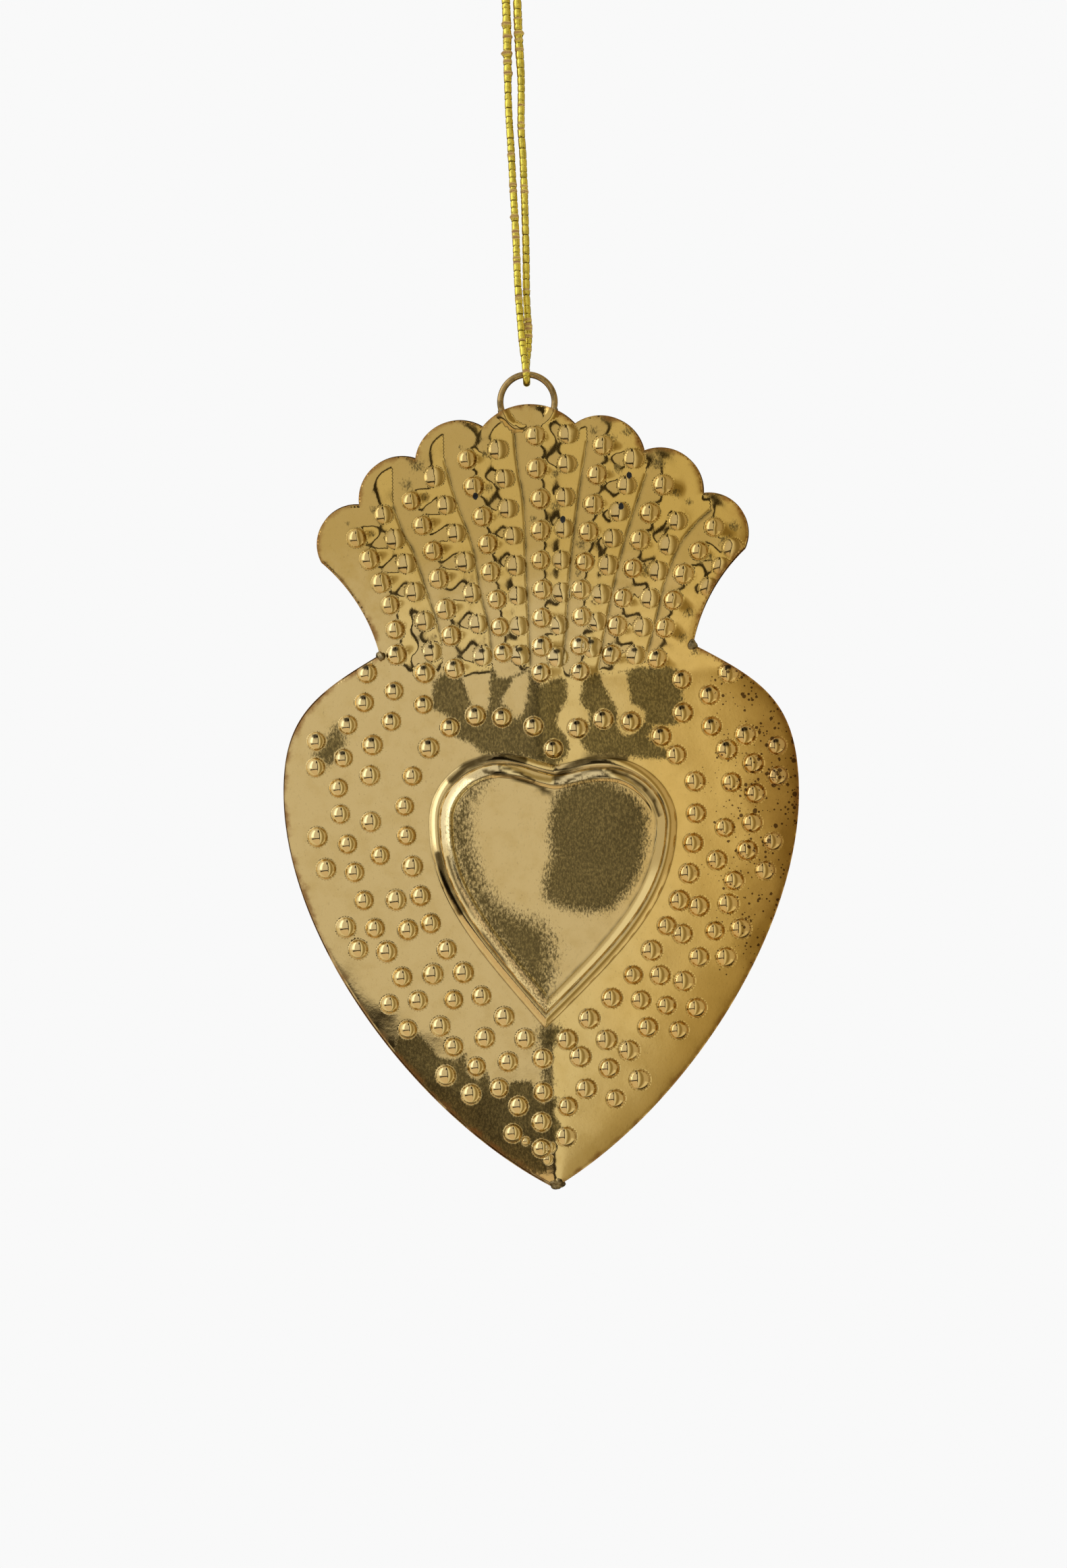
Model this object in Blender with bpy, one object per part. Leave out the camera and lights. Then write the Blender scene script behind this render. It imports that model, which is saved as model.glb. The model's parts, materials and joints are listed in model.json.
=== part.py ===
"""Hollow brass heart ornament with a fan crown, hanging by its ring from a loop of tinsel cord.

Two thin sheets, each embossed with seven ribbed petals, a raised inner heart and rows of punched
domes, lie back to back with their rims together. Solder holds the rims at the two necks and at the
tip, and the lower part of a wire ring is caught between them. A cord runs from a knot down to the
ring, under its wire and up again. The front faces -Y, +Z is up and +X is right.
The origin is where a hook passes between the two strands of cord, just under the knot.
"""

import math

import bmesh
import bpy
from mathutils import Matrix, Vector
from mathutils.geometry import delaunay_2d_cdt

MM = 0.001

# Cord: a loop hangs from the knot and turns round the wire of the ring
CORD_DIAMETER = 1.15 * MM
LOOP_DROP = 64.0 * MM
CORD_CLEARANCE = 0.3 * MM
KNOT_CLEARANCE = 0.3 * MM
KNOT_DIAMETER = 4.6 * MM
KNOT_HEIGHT = 4.2 * MM
KNOT_RISE = 1.0 * MM
TAIL_LENGTH = 7.0 * MM
TAIL_LEAN = math.radians(24)

# Hanging ring, a closed wire ring
RING_RADIUS = 4.41 * MM
RING_WIRE = 1.04 * MM

# Sheets
SHEET = 0.4 * MM
SEAM_GAP = 0.3 * MM
PILLOW_RISE = 2.6 * MM
PILLOW_RUN = 8.0 * MM
RING_BED_RUN = 3.0 * MM
RING_BED_CLEARANCE = 0.4 * MM
BACK_SKEW = math.radians(0.4)

# Outline of a sheet: drops go down from the middle of the wire at the top of the ring
CROWN_TOP_DROP = 4.8 * MM
FAN_CENTRE_DROP = 40.7 * MM
VALLEY_ANGLES = [math.radians(degrees) for degrees in (13.0, 33.8, 53.7, 71.6)]
VALLEY_REACHES = [reach * MM for reach in (33.3, 33.3, 34.6, 36.2)]
SCALLOP_RISE = 3.3 * MM
CROWN_SIDE_DIP = 1.4 * MM
NECK_HALF_WIDTH = 25.4 * MM
NECK_DROP = 44.7 * MM
SHOULDER_HANDLE = 13.0 * MM
SHOULDER_SLOPE = math.radians(29)
HEART_HALF_WIDTH = 41.7 * MM
HEART_WIDEST_DROP = 67.8 * MM
SHOULDER_RISE_HANDLE = 13.1 * MM
FLANK_HANDLE = 23.3 * MM
TIP_DROP = 131.8 * MM
TIP_HANDLE = 24.6 * MM
TIP_SLOPE = math.radians(29)

# Creases between the petals, fanning out from the neck to the scallops
CREASE_MIDDLE = math.radians(5.3)
CREASE_STEP = math.radians(20.9)
CREASE_REACH = 31.6 * MM
CREASE_FEET = [foot * MM for foot in (-15.4, -7.3, -0.7, 4.1, 10.3, 18.3)]
CREASE_FOOT_DROP = 46.3 * MM
CREASE_BEND = 0.35
CREASE_DEPTH = 1.1 * MM
CREASE_RUN = 2.6 * MM

# Raised inner heart, leaning a little to the right
BOSS_TIP_DROP = 106.0 * MM
BOSS_TIP_X = -0.8 * MM
BOSS_LEAN = math.radians(4.2)
BOSS_HALF_WIDTH = 20.0 * MM
BOSS_WIDEST = 33.5 * MM
BOSS_LOBE_X = 8.8 * MM
BOSS_LOBE_TOP = 44.2 * MM
BOSS_CLEFT = 42.7 * MM
BOSS_CLEFT_SHARPENING = 1.9
BOSS_TIP_SHARPENING = 1.45
BOSS_FLANK_HANDLES = (12.5 * MM, 13.5 * MM, 12.5 * MM)
BOSS_LOBE_HANDLES = (6.0 * MM, 5.5 * MM, 4.6 * MM)
BOSS_LEDGE_WIDTH = 1.5 * MM
BOSS_LEDGE_RISE = 0.8 * MM
BOSS_SLOPE_WIDTH = 1.75 * MM
BOSS_RISE = 2.4 * MM

# Punched domes
DOME_RADIUS = 1.6 * MM
DOME_RISE = 1.1 * MM
DOME_SHOULDER = 0.6
DOME_GAP = 0.45 * MM

# Columns of domes down the petals, left and right in turn, in millimetres across and up from the
# wire: first, middle and last place, and how many
PETAL_COLUMNS = (
    ((-28.5, -25.4), (-24.0, -34.6), (-22.6, -44.5), 6), ((-23.8, -21.9), (-19.8, -32.4), (-16.7, -44.3), 6),
    ((-19.5, -19.8), (-15.1, -32.5), (-13.4, -47.1), 7), ((-15.4, -16.2), (-11.0, -30.1), (-8.8, -45.2), 7),
    ((-10.1, -13.4), (-7.0, -29.6), (-5.4, -45.1), 8), ((-5.0, -12.0), (-3.0, -28.6), (-2.6, -45.6), 8),
    ((1.0, -10.0), (1.3, -30.2), (0.6, -48.3), 9), ((6.4, -9.8), (5.0, -27.8), (3.4, -45.8), 8),
    ((12.1, -12.1), (8.3, -30.7), (7.0, -48.5), 9), ((17.0, -14.3), (12.5, -29.3), (9.2, -44.7), 8),
    ((21.4, -18.7), (15.8, -32.1), (12.2, -45.9), 7), ((23.8, -24.8), (19.5, -34.8), (16.2, -46.2), 6),
    ((29.5, -25.9), (23.3, -35.3), (19.6, -46.7), 6), ((32.3, -29.4), (30.7, -32.4), (28.3, -35.7), 3),
)

# Rows of domes on the body, and pairs of domes between them, measured the same way
BODY_ROWS = (
    ((-22.2, -69.2), (-18.5, -88.3), (-7.3, -103.9), 9), ((25.0, -66.8), (21.7, -86.0), (10.2, -101.4), 9),
    ((29.5, -86.9), (19.1, -103.0), (5.7, -115.9), 9), ((-32.6, -70.0), (-28.5, -86.5), (-21.2, -100.8), 8),
    ((-20.8, -64.6), (-12.4, -55.6), (-0.9, -57.2), 6), ((33.7, -59.7), (34.5, -71.5), (30.7, -83.1), 6),
    ((-17.0, -113.0), (-7.0, -111.1), (4.6, -111.0), 5), ((2.2, -60.7), (10.5, -56.3), (19.7, -59.4), 5),
    ((-27.6, -47.3), (-29.2, -54.1), (-36.2, -58.0), 4), ((-18.6, -52.7), (-25.6, -57.1), (-27.7, -64.0), 4),
    ((-8.6, -115.4), (-3.8, -119.8), (2.1, -123.7), 4), ((23.3, -55.7), (29.5, -59.9), (30.8, -67.3), 4),
    ((-4.2, -107.5), (-10.6, -107.3), (-15.8, -108.5), 3),
)
BODY_PAIRS = (
    ((-31.7, -61.1), (-36.6, -62.5)), ((-36.6, -73.5), (-35.5, -78.9)), ((-27.5, -71.6), (-26.3, -76.9)),
    ((-24.1, -84.5), (-22.4, -89.3)), ((-32.7, -88.7), (-30.6, -92.1)), ((-18.5, -96.5), (-15.5, -100.9)),
    ((-25.9, -101.3), (-23.0, -105.4)), ((-6.8, -122.9), (-2.3, -125.5)), ((23.4, -50.4), (27.9, -52.8)),
    ((38.3, -61.6), (38.3, -66.3)), ((29.5, -74.5), (28.1, -79.5)), ((37.2, -77.2), (35.7, -81.7)),
    ((24.8, -87.2), (22.3, -91.5)), ((31.4, -91.1), (28.7, -95.7)), ((18.1, -98.1), (14.8, -101.9)),
    ((23.8, -103.7), (20.6, -107.1)), ((6.4, -104.7), (2.5, -107.9)), ((14.0, -114.8), (10.2, -117.8)),
    ((2.3, -118.9), (-1.4, -116.2)), ((-32.9, -65.8), (-17.6, -105.2)), ((-13.3, -116.3), (22.1, -62.6)),
    ((31.1, -49.6), (9.2, -108.1)), ((-23.3, -50.4), (-18.3, -47.8)),
)

# Solder
SOLDER_GAP = 0.3 * MM
SOLDER_HALF_DEPTH = 0.8 * MM
NECK_SOLDER_RADIUS = 1.1 * MM
RING_SOLDER_RADIUS = 0.5 * MM
TIP_SOLDER_ARM = 2.6 * MM
TIP_SOLDER_THICKNESS = 0.8 * MM

# Facets
CURVE_STEP = 2.2 * MM
LATTICE = 6.2 * MM
DOME_SIDES = 5
DOME_SHOULDER_SIDES = 4
RING_STEPS = 36
WIRE_SIDES = 8
BEND_STEPS = 8
CORD_STEP = 2.5 * CORD_DIAMETER

# Routes of the cord's strands from the knot to the ring, left in front and right behind it:
# height above the wire, x and y in millimetres
LEFT_ROUTE = ((64.7, -1.15, 0.00), (56.4, -1.09, 0.00), (44.4, -1.31, 0.00), (36.7, -1.15, 0.00),
              (30.7, -1.05, -0.08), (23.0, -0.89, -0.20), (14.8, -0.86, -0.42), (6.1, -0.52, -0.75),
              (1.9, -0.15, -1.25))
RIGHT_ROUTE = ((64.7, 0.75, 0.00), (55.3, 0.73, 0.00), (47.6, 0.89, 0.00), (40.0, 0.61, 0.00),
               (34.5, 0.74, 0.05), (21.4, 0.69, 0.20), (12.6, 0.48, 0.52), (6.1, 0.57, 0.78),
               (1.9, 0.08, 1.28))


def cubic(start, out_handle, in_handle, end, step=CURVE_STEP):
    """Points of a Bezier curve from start, without its end point."""
    corners = [Vector(corner) for corner in (start, out_handle, in_handle, end)]
    count = max(3, round((corners[0] - corners[3]).length / step))
    points = []
    for i in range(count):
        t = i / count
        s = 1 - t
        weights = (s * s * s, 3 * s * s * t, 3 * s * t * t, t * t * t)
        points.append(sum((w * c for w, c in zip(weights, corners)), Vector((0.0, 0.0))))
    return points


def arc(start, end, rise, step=CURVE_STEP):
    """Points of a circular arc from start, without its end point, bulging to the left of its chord."""
    start = Vector(start)
    end = Vector(end)
    chord = end - start
    half = chord.length / 2
    radius = (half * half + rise * rise) / (2 * rise)
    normal = Vector((-chord.y, chord.x)).normalized()
    centre = (start + end) / 2 + normal * (rise - radius)
    sweep = 2 * math.atan2(half, radius - rise)
    count = max(4, round(sweep * radius / step))
    return [centre + Matrix.Rotation(-sweep * i / count, 2) @ (start - centre) for i in range(count)]


def mirrored(points):
    """The same line on the other side of the middle, in the same order."""
    return [Vector((-p.x, p.y)) for p in points]


def fan_point(angle, reach):
    """A point of the crown at this angle from upright, seen from the centre of the fan."""
    return Vector((reach * math.sin(angle), -FAN_CENTRE_DROP + reach * math.cos(angle)))


NECK = Vector((NECK_HALF_WIDTH, -NECK_DROP))
TIP = Vector((0.0, -TIP_DROP))
VALLEYS = [fan_point(angle, reach) for angle, reach in zip(VALLEY_ANGLES, VALLEY_REACHES)]
TOP_RISE = -CROWN_TOP_DROP - VALLEYS[0].y


def crown_side():
    """Right side of the crown, from its lower corner to the neck, without the neck."""
    upwards = arc(NECK, VALLEYS[-1], CROWN_SIDE_DIP) + [VALLEYS[-1]]
    return upwards[:0:-1]


def heart_side():
    """Right edge of the heart, from the neck down to the tip, without the tip."""
    widest = Vector((HEART_HALF_WIDTH, -HEART_WIDEST_DROP))
    neck_out = NECK + SHOULDER_HANDLE * Vector((math.cos(SHOULDER_SLOPE), -math.sin(SHOULDER_SLOPE)))
    widest_in = widest + Vector((0.0, SHOULDER_RISE_HANDLE))
    widest_out = widest - Vector((0.0, FLANK_HANDLE))
    tip_in = TIP + TIP_HANDLE * Vector((math.cos(TIP_SLOPE), math.sin(TIP_SLOPE)))
    return cubic(NECK, neck_out, widest_in, widest) + cubic(widest, widest_out, tip_in, TIP)


def plate_outline():
    """Closed outline of a sheet, clockwise from the valley right of the top petal."""
    side = []
    for start, end in zip(VALLEYS, VALLEYS[1:]):
        side += arc(start, end, SCALLOP_RISE)
    side += crown_side() + heart_side()
    left = mirrored(side)[::-1]
    return side + [TIP] + left[:-1] + arc(left[-1], side[0], TOP_RISE)


def boss_outline(inset=0.0):
    """Closed outline of the inner heart, from its tip, drawn in all round by inset."""
    tip = Vector((0.0, BOSS_TIP_SHARPENING * inset))
    widest = Vector((BOSS_HALF_WIDTH - inset, BOSS_WIDEST))
    lobe = Vector((BOSS_LOBE_X, BOSS_LOBE_TOP - inset))
    cleft = Vector((0.0, BOSS_CLEFT - BOSS_CLEFT_SHARPENING * inset))
    across, up, down = BOSS_FLANK_HANDLES
    shoulder, outwards, inwards = BOSS_LOBE_HANDLES
    flank = cubic(tip, tip + Vector((across, up)), widest - Vector((0.0, down)), widest)
    cheek = cubic(widest, widest + Vector((0.0, shoulder)), lobe + Vector((outwards, 0.0)), lobe)
    fold = cubic(lobe, lobe - Vector((inwards, 0.0)), cleft.lerp(lobe, 0.4), cleft)
    right = flank + cheek + fold
    loop = right + [cleft] + mirrored(right)[:0:-1]
    turn = Matrix.Rotation(-BOSS_LEAN, 2)
    return [turn @ p + Vector((BOSS_TIP_X, -BOSS_TIP_DROP)) for p in loop]


def crease_lines():
    """The lines pressed between the petals, each from its scallop down to the neck."""
    lines = []
    for i, foot_x in enumerate(CREASE_FEET):
        angle = CREASE_MIDDLE + CREASE_STEP * (i - (len(CREASE_FEET) - 1) / 2)
        top = fan_point(angle, CREASE_REACH)
        foot = Vector((foot_x, -CREASE_FOOT_DROP))
        bend = Vector((foot.x + CREASE_BEND * (top.x - foot.x), (top.y + foot.y) / 2))
        count = max(3, round((top - foot).length / (2 * CURVE_STEP)))
        shares = [k / count for k in range(count + 1)]
        lines.append([(1 - t) ** 2 * top + 2 * t * (1 - t) * bend + t * t * foot for t in shares])
    return lines


def distance_to(point, line):
    """Least distance from a point to an open line of points."""
    least = math.inf
    for a, b in zip(line, line[1:]):
        run = b - a
        t = max(0.0, min(1.0, (point - a).dot(run) / run.length_squared))
        least = min(least, (point - a - run * t).length)
    return least


def inside(point, loop):
    """Whether a point is inside a closed outline."""
    crossings = 0
    for a, b in zip(loop, loop[1:] + loop[:1]):
        if (a.y > point.y) != (b.y > point.y):
            crossings += point.x < a.x + (point.y - a.y) / (b.y - a.y) * (b.x - a.x)
    return crossings % 2 == 1


def ease(t):
    """Rises smoothly from 0 to 1."""
    t = max(0.0, min(1.0, t))
    return t * t * (3 - 2 * t)


RIM = plate_outline()
CREASES = crease_lines()
BOSS = boss_outline()
RING_CENTRE = Vector((0.0, -RING_RADIUS))


def inner_height(point):
    """How far the hollow side of a sheet stands from the plane between the sheets."""
    rim = distance_to(point, RIM + RIM[:1])
    field = SEAM_GAP / 2 + PILLOW_RISE * (1 - math.exp(-rim / PILLOW_RUN))
    crease = min(distance_to(point, line) for line in CREASES)
    field -= CREASE_DEPTH * math.exp(-crease / CREASE_RUN) * ease(rim / PILLOW_RUN)
    ring = abs((point - RING_CENTRE).length - RING_RADIUS)
    bed = RING_WIRE / 2 + RING_BED_CLEARANCE
    field = max(field, bed * max(0.0, 1 - (ring / RING_BED_RUN) ** 2) ** 2)
    if not inside(point, BOSS):
        return field
    depth = distance_to(point, BOSS + BOSS[:1])
    ledge = field + BOSS_LEDGE_RISE * ease(depth / BOSS_LEDGE_WIDTH)
    top = SEAM_GAP / 2 + PILLOW_RISE + BOSS_RISE
    return ledge + (top - ledge) * ease((depth - BOSS_LEDGE_WIDTH) / BOSS_SLOPE_WIDTH)


def dome_places():
    """The middles of all the domes of a sheet."""
    places = []
    for first, middle, last, count in PETAL_COLUMNS + BODY_ROWS:
        for t in [k / (count - 1) for k in range(count)]:
            weights = ((1 - t) * (1 - 2 * t), 4 * t * (1 - t), t * (2 * t - 1))
            marks = (first, middle, last)
            places.append(sum((w * Vector(mark) for w, mark in zip(weights, marks)), Vector((0.0, 0.0))))
    for pair in BODY_PAIRS:
        places += [Vector(mark) for mark in pair]
    return [place * MM for place in places]


DOMES = dome_places()


def outer_height(point):
    """How far the bright side of a sheet stands from the plane between the sheets."""
    share = min(1.0, min((point - dome).length for dome in DOMES) / DOME_RADIUS)
    return inner_height(point) + SHEET + DOME_RISE * (1 - share ** 2)


def circle(centre, radius, count):
    """Points evenly round a centre."""
    return [centre + Matrix.Rotation(math.tau * k / count, 2) @ Vector((0.0, radius)) for k in range(count)]


def lattice():
    """Even filling points, in rows that are set over by half a step."""
    low = Vector((min(p.x for p in RIM), -TIP_DROP))
    high = Vector((max(p.x for p in RIM), -CROWN_TOP_DROP))
    row_step = LATTICE * math.sqrt(3) / 2
    return [low + Vector((LATTICE * (column + 0.5 * (row % 2)), row_step * row))
            for row in range(int((high.y - low.y) / row_step) + 1)
            for column in range(int((high.x - low.x) / LATTICE) + 1)]


def face_plan(domes):
    """Flat plan of one face of a sheet: points, triangles and, for each point, where it came from."""
    points = list(RIM)
    chains = [list(range(len(RIM))) + [0]]

    def add_line(line, closed):
        chain = list(range(len(points), len(points) + len(line)))
        points.extend(line)
        chains.append(chain + chain[:1] if closed else chain)

    def add_filling(point, clear, from_domes):
        if not inside(point, RIM) or any((point - other).length < clear for other in points):
            return
        if all((point - dome).length > from_domes for dome in domes):
            points.append(point)

    for line in CREASES:
        add_line(line, False)
    for inset in (0.0, BOSS_LEDGE_WIDTH, BOSS_LEDGE_WIDTH + BOSS_SLOPE_WIDTH):
        add_line(boss_outline(inset), True)
    for dome in domes:
        points.append(dome)
        for share, sides in ((DOME_SHOULDER, DOME_SHOULDER_SIDES), (1.0, DOME_SIDES)):
            for point in circle(dome, share * DOME_RADIUS, sides):
                add_filling(point, DOME_GAP, 0.0)
    for radius in (RING_RADIUS - RING_WIRE, RING_RADIUS, RING_RADIUS + RING_WIRE):
        for point in circle(RING_CENTRE, radius, RING_STEPS // 2):
            add_filling(point, RING_WIRE / 2, DOME_RADIUS)
    for point in lattice():
        add_filling(point, LATTICE / 2.4, DOME_RADIUS + LATTICE / 4.8)
    edges = [pair for chain in chains for pair in zip(chain, chain[1:])]
    made = delaunay_2d_cdt(points, edges, [list(range(len(RIM)))], 1, 1e-7)
    return made[0], made[2], made[3]


def sheet_mesh(name):
    """A sheet: its domed bright face, its plainer hollow face and the cut edge that joins them."""
    work = bmesh.new()
    rims = []
    for domes, height in ((DOMES, outer_height), ([], inner_height)):
        points, triangles, sources = face_plan(domes)
        verts = [work.verts.new((p.x, -height(p), p.y)) for p in points]
        for triangle in triangles:
            work.faces.new([verts[i] for i in triangle])
        rims.append({i: vert for vert, source in zip(verts, sources) for i in source if i < len(RIM)})
    bright, hollow = rims
    for i in range(len(RIM)):
        k = (i + 1) % len(RIM)
        work.faces.new((bright[i], bright[k], hollow[k], hollow[i]))
    bmesh.ops.recalc_face_normals(work, faces=work.faces)
    return mesh_from(work, name, math.radians(35))


def mesh_from(work, name, sharp_angle):
    """The finished mesh, shaded smooth but for edges sharper than this."""
    mesh = bpy.data.meshes.new(name)
    work.to_mesh(mesh)
    work.free()
    mesh.shade_smooth()
    mesh.set_sharp_from_angle(angle=sharp_angle)
    return mesh


def metal(name, colour, roughness, metallic=1.0):
    material = bpy.data.materials.new(name)
    material.use_nodes = True
    shader = material.node_tree.nodes["Principled BSDF"]
    shader.inputs["Base Color"].default_value = (*colour, 1.0)
    shader.inputs["Roughness"].default_value = roughness
    shader.inputs["Metallic"].default_value = metallic
    return material


def place(name, data, parent, material, location=(0.0, 0.0, 0.0)):
    """Puts a piece in the scene under its parent."""
    piece = bpy.data.objects.new(name, data)
    bpy.context.scene.collection.objects.link(piece)
    piece.parent = parent
    piece.location = location
    data.materials.append(material)
    return piece


def pivot(name, height):
    """An empty on the axis that a body turns about."""
    empty = bpy.data.objects.new(name, None)
    bpy.context.scene.collection.objects.link(empty)
    empty.location = (0.0, 0.0, height)
    return empty


def front_sheet(body, brass):
    place("front_sheet", sheet_mesh("front_sheet"), body, brass)


def back_sheet(body, brass):
    """The same pressing turned round, soldered on a little askew so that its edge shows at the lower left."""
    mesh = sheet_mesh("back_sheet")
    neck = Matrix.Translation((0.0, 0.0, -NECK_DROP))
    askew = neck @ Matrix.Rotation(BACK_SKEW, 4, "Y") @ neck.inverted()
    mesh.transform(askew @ Matrix.Rotation(math.pi, 4, "Z"))
    place("back_sheet", mesh, body, brass)


def hanging_ring(body, brass):
    """A round wire ring whose lower half lies between the sheets."""
    work = bmesh.new()
    section = bmesh.ops.create_circle(work, segments=WIRE_SIDES, radius=RING_WIRE / 2)["verts"]
    bmesh.ops.translate(work, verts=section, vec=(RING_RADIUS, 0.0, 0.0))
    bmesh.ops.spin(work, geom=list(work.verts) + list(work.edges), axis=(0.0, 1.0, 0.0),
                   cent=(0.0, 0.0, 0.0), angle=math.tau, steps=RING_STEPS)
    bmesh.ops.remove_doubles(work, verts=work.verts, dist=0.01 * RING_WIRE)
    bmesh.ops.recalc_face_normals(work, faces=work.faces)
    mesh = mesh_from(work, "hanging_ring", math.radians(60))
    place("hanging_ring", mesh, body, brass, (RING_CENTRE.x, 0.0, RING_CENTRE.y))


def solder_lump(name, radius, centre, body, tin):
    """A smooth lump of solder that bridges the two rims."""
    work = bmesh.new()
    bmesh.ops.create_uvsphere(work, u_segments=10, v_segments=7, radius=radius)
    bmesh.ops.scale(work, verts=work.verts, vec=(1.0, SOLDER_HALF_DEPTH / radius, 1.0))
    place(name, mesh_from(work, name, math.radians(60)), body, tin, (centre.x, 0.0, centre.y))


def neck_solder(body, tin):
    """A lump in each notch between crown and heart, resting on both edges of the notch."""
    above = (crown_side()[-1] - NECK).normalized()
    below = (heart_side()[1] - NECK).normalized()
    bisector = (above + below).normalized()
    reach = (NECK_SOLDER_RADIUS + SOLDER_GAP) / math.sin(above.angle(bisector))
    centre = NECK + bisector * reach
    solder_lump("solder_neck_right", NECK_SOLDER_RADIUS, centre, body, tin)
    solder_lump("solder_neck_left", NECK_SOLDER_RADIUS, mirrored([centre])[0], body, tin)


def ring_solder(body, tin):
    """A lump outside each leg of the ring, where it goes in between the sheets."""
    half = VALLEYS[0].x
    scallop = (half * half + TOP_RISE * TOP_RISE) / (2 * TOP_RISE)
    from_rim = scallop + SOLDER_GAP + RING_SOLDER_RADIUS
    from_ring = RING_RADIUS + RING_WIRE / 2 + SOLDER_GAP + RING_SOLDER_RADIUS
    apart = CROWN_TOP_DROP + scallop - RING_RADIUS
    drop = (from_ring ** 2 - from_rim ** 2 + apart ** 2) / (2 * apart)
    centre = RING_CENTRE + Vector((math.sqrt(from_ring ** 2 - drop ** 2), -drop))
    solder_lump("solder_ring_right", RING_SOLDER_RADIUS, centre, body, tin)
    solder_lump("solder_ring_left", RING_SOLDER_RADIUS, mirrored([centre])[0], body, tin)


def tip_solder(body, tin):
    """A bead of solder folded round the tip, outside both rims."""
    run = (heart_side()[-1] - TIP).normalized()
    seat = TIP - Vector((0.0, SOLDER_GAP / run.x))
    under = seat - Vector((0.0, TIP_SOLDER_THICKNESS / run.x))
    blunt = under + Vector((0.0, TIP_SOLDER_THICKNESS / 3))
    right = [seat + run * TIP_SOLDER_ARM, under + run * TIP_SOLDER_ARM * 0.8]
    outline = [seat] + right + [blunt] + mirrored(right)[::-1]
    work = bmesh.new()
    face = work.faces.new([work.verts.new((p.x, -SOLDER_HALF_DEPTH, p.y)) for p in outline])
    grown = bmesh.ops.extrude_face_region(work, geom=[face])["geom"]
    moved = [vert for vert in grown if isinstance(vert, bmesh.types.BMVert)]
    bmesh.ops.translate(work, verts=moved, vec=(0.0, 2 * SOLDER_HALF_DEPTH, 0.0))
    bmesh.ops.recalc_face_normals(work, faces=work.faces)
    bmesh.ops.bevel(work, geom=list(work.edges), offset=TIP_SOLDER_THICKNESS / 4, segments=2,
                    affect="EDGES", profile=0.5)
    place("solder_tip", mesh_from(work, "solder_tip", math.radians(60)), body, tin)


def cord_curve(name, points, body, tinsel):
    """A round tube of cord through these points."""
    curve = bpy.data.curves.new(name, "CURVE")
    curve.dimensions = "3D"
    curve.bevel_depth = CORD_DIAMETER / 2
    curve.bevel_resolution = 2
    curve.use_fill_caps = True
    spline = curve.splines.new("POLY")
    spline.points.add(len(points) - 1)
    for slot, point in zip(spline.points, points):
        slot.co = (*point, 1.0)
    spline.use_smooth = True
    place(name, curve, body, tinsel)


def smooth_route(route, step):
    """Evenly spaced points of a smooth curve through the points of a route."""
    ends = [2 * route[0] - route[1]] + route + [2 * route[-1] - route[-2]]
    fine = []
    for a, b, c, d in zip(ends, ends[1:], ends[2:], ends[3:]):
        for t in [k / 12 for k in range(12)]:
            curve = (2 * b) + (c - a) * t + (2 * a - 5 * b + 4 * c - d) * t ** 2
            fine.append((curve + (3 * b - a - 3 * c + d) * t ** 3) / 2)
    fine.append(route[-1])
    length = sum((q - p).length for p, q in zip(fine, fine[1:]))
    gap = length / round(length / step)
    kept = [fine[0]]
    ahead = gap
    for p, q in zip(fine, fine[1:]):
        run = (q - p).length
        while ahead <= run:
            kept.append(p.lerp(q, ahead / run))
            ahead += gap
        ahead -= run
    return kept[:-1] if (kept[-1] - fine[-1]).length < gap / 2 else kept


def hanging_cord(body, tinsel):
    """One length of cord: down in front of the wire, under it and up behind it."""
    bend = RING_WIRE / 2 + CORD_CLEARANCE + CORD_DIAMETER / 2
    turns = [math.pi * k / BEND_STEPS for k in range(BEND_STEPS + 1)]
    under = [Vector((0.0, -bend * math.cos(turn), -LOOP_DROP - bend * math.sin(turn))) for turn in turns]
    strands = []
    for route, end in ((LEFT_ROUTE, under[0]), (RIGHT_ROUTE, under[-1])):
        marks = [Vector((x * MM, y * MM, height * MM - LOOP_DROP)) for height, x, y in route]
        strands.append(smooth_route(marks + [end], CORD_STEP))
    cord_curve("hanging_cord", strands[0] + under + strands[1][::-1], body, tinsel)


def cord_knot(body, tinsel):
    """The round knot that ties the two strands, and the two short ends above it."""
    centre = Vector((0.0, 0.0, KNOT_RISE + KNOT_HEIGHT / 2))
    work = bmesh.new()
    bmesh.ops.create_uvsphere(work, u_segments=20, v_segments=12, radius=KNOT_DIAMETER / 2)
    bmesh.ops.scale(work, verts=work.verts, vec=(1.0, 1.0, KNOT_HEIGHT / KNOT_DIAMETER))
    place("cord_knot", mesh_from(work, "cord_knot", math.radians(60)), body, tinsel, centre)
    for name, side in (("cord_tail_left", -1), ("cord_tail_right", 1)):
        lean = Vector((side * math.sin(TAIL_LEAN), 0.0, math.cos(TAIL_LEAN)))
        foot = centre + lean * (KNOT_DIAMETER / 2 + KNOT_CLEARANCE)
        points = [foot + lean * TAIL_LENGTH * k / 3 for k in range(4)]
        cord_curve(name, points, body, tinsel)


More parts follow.
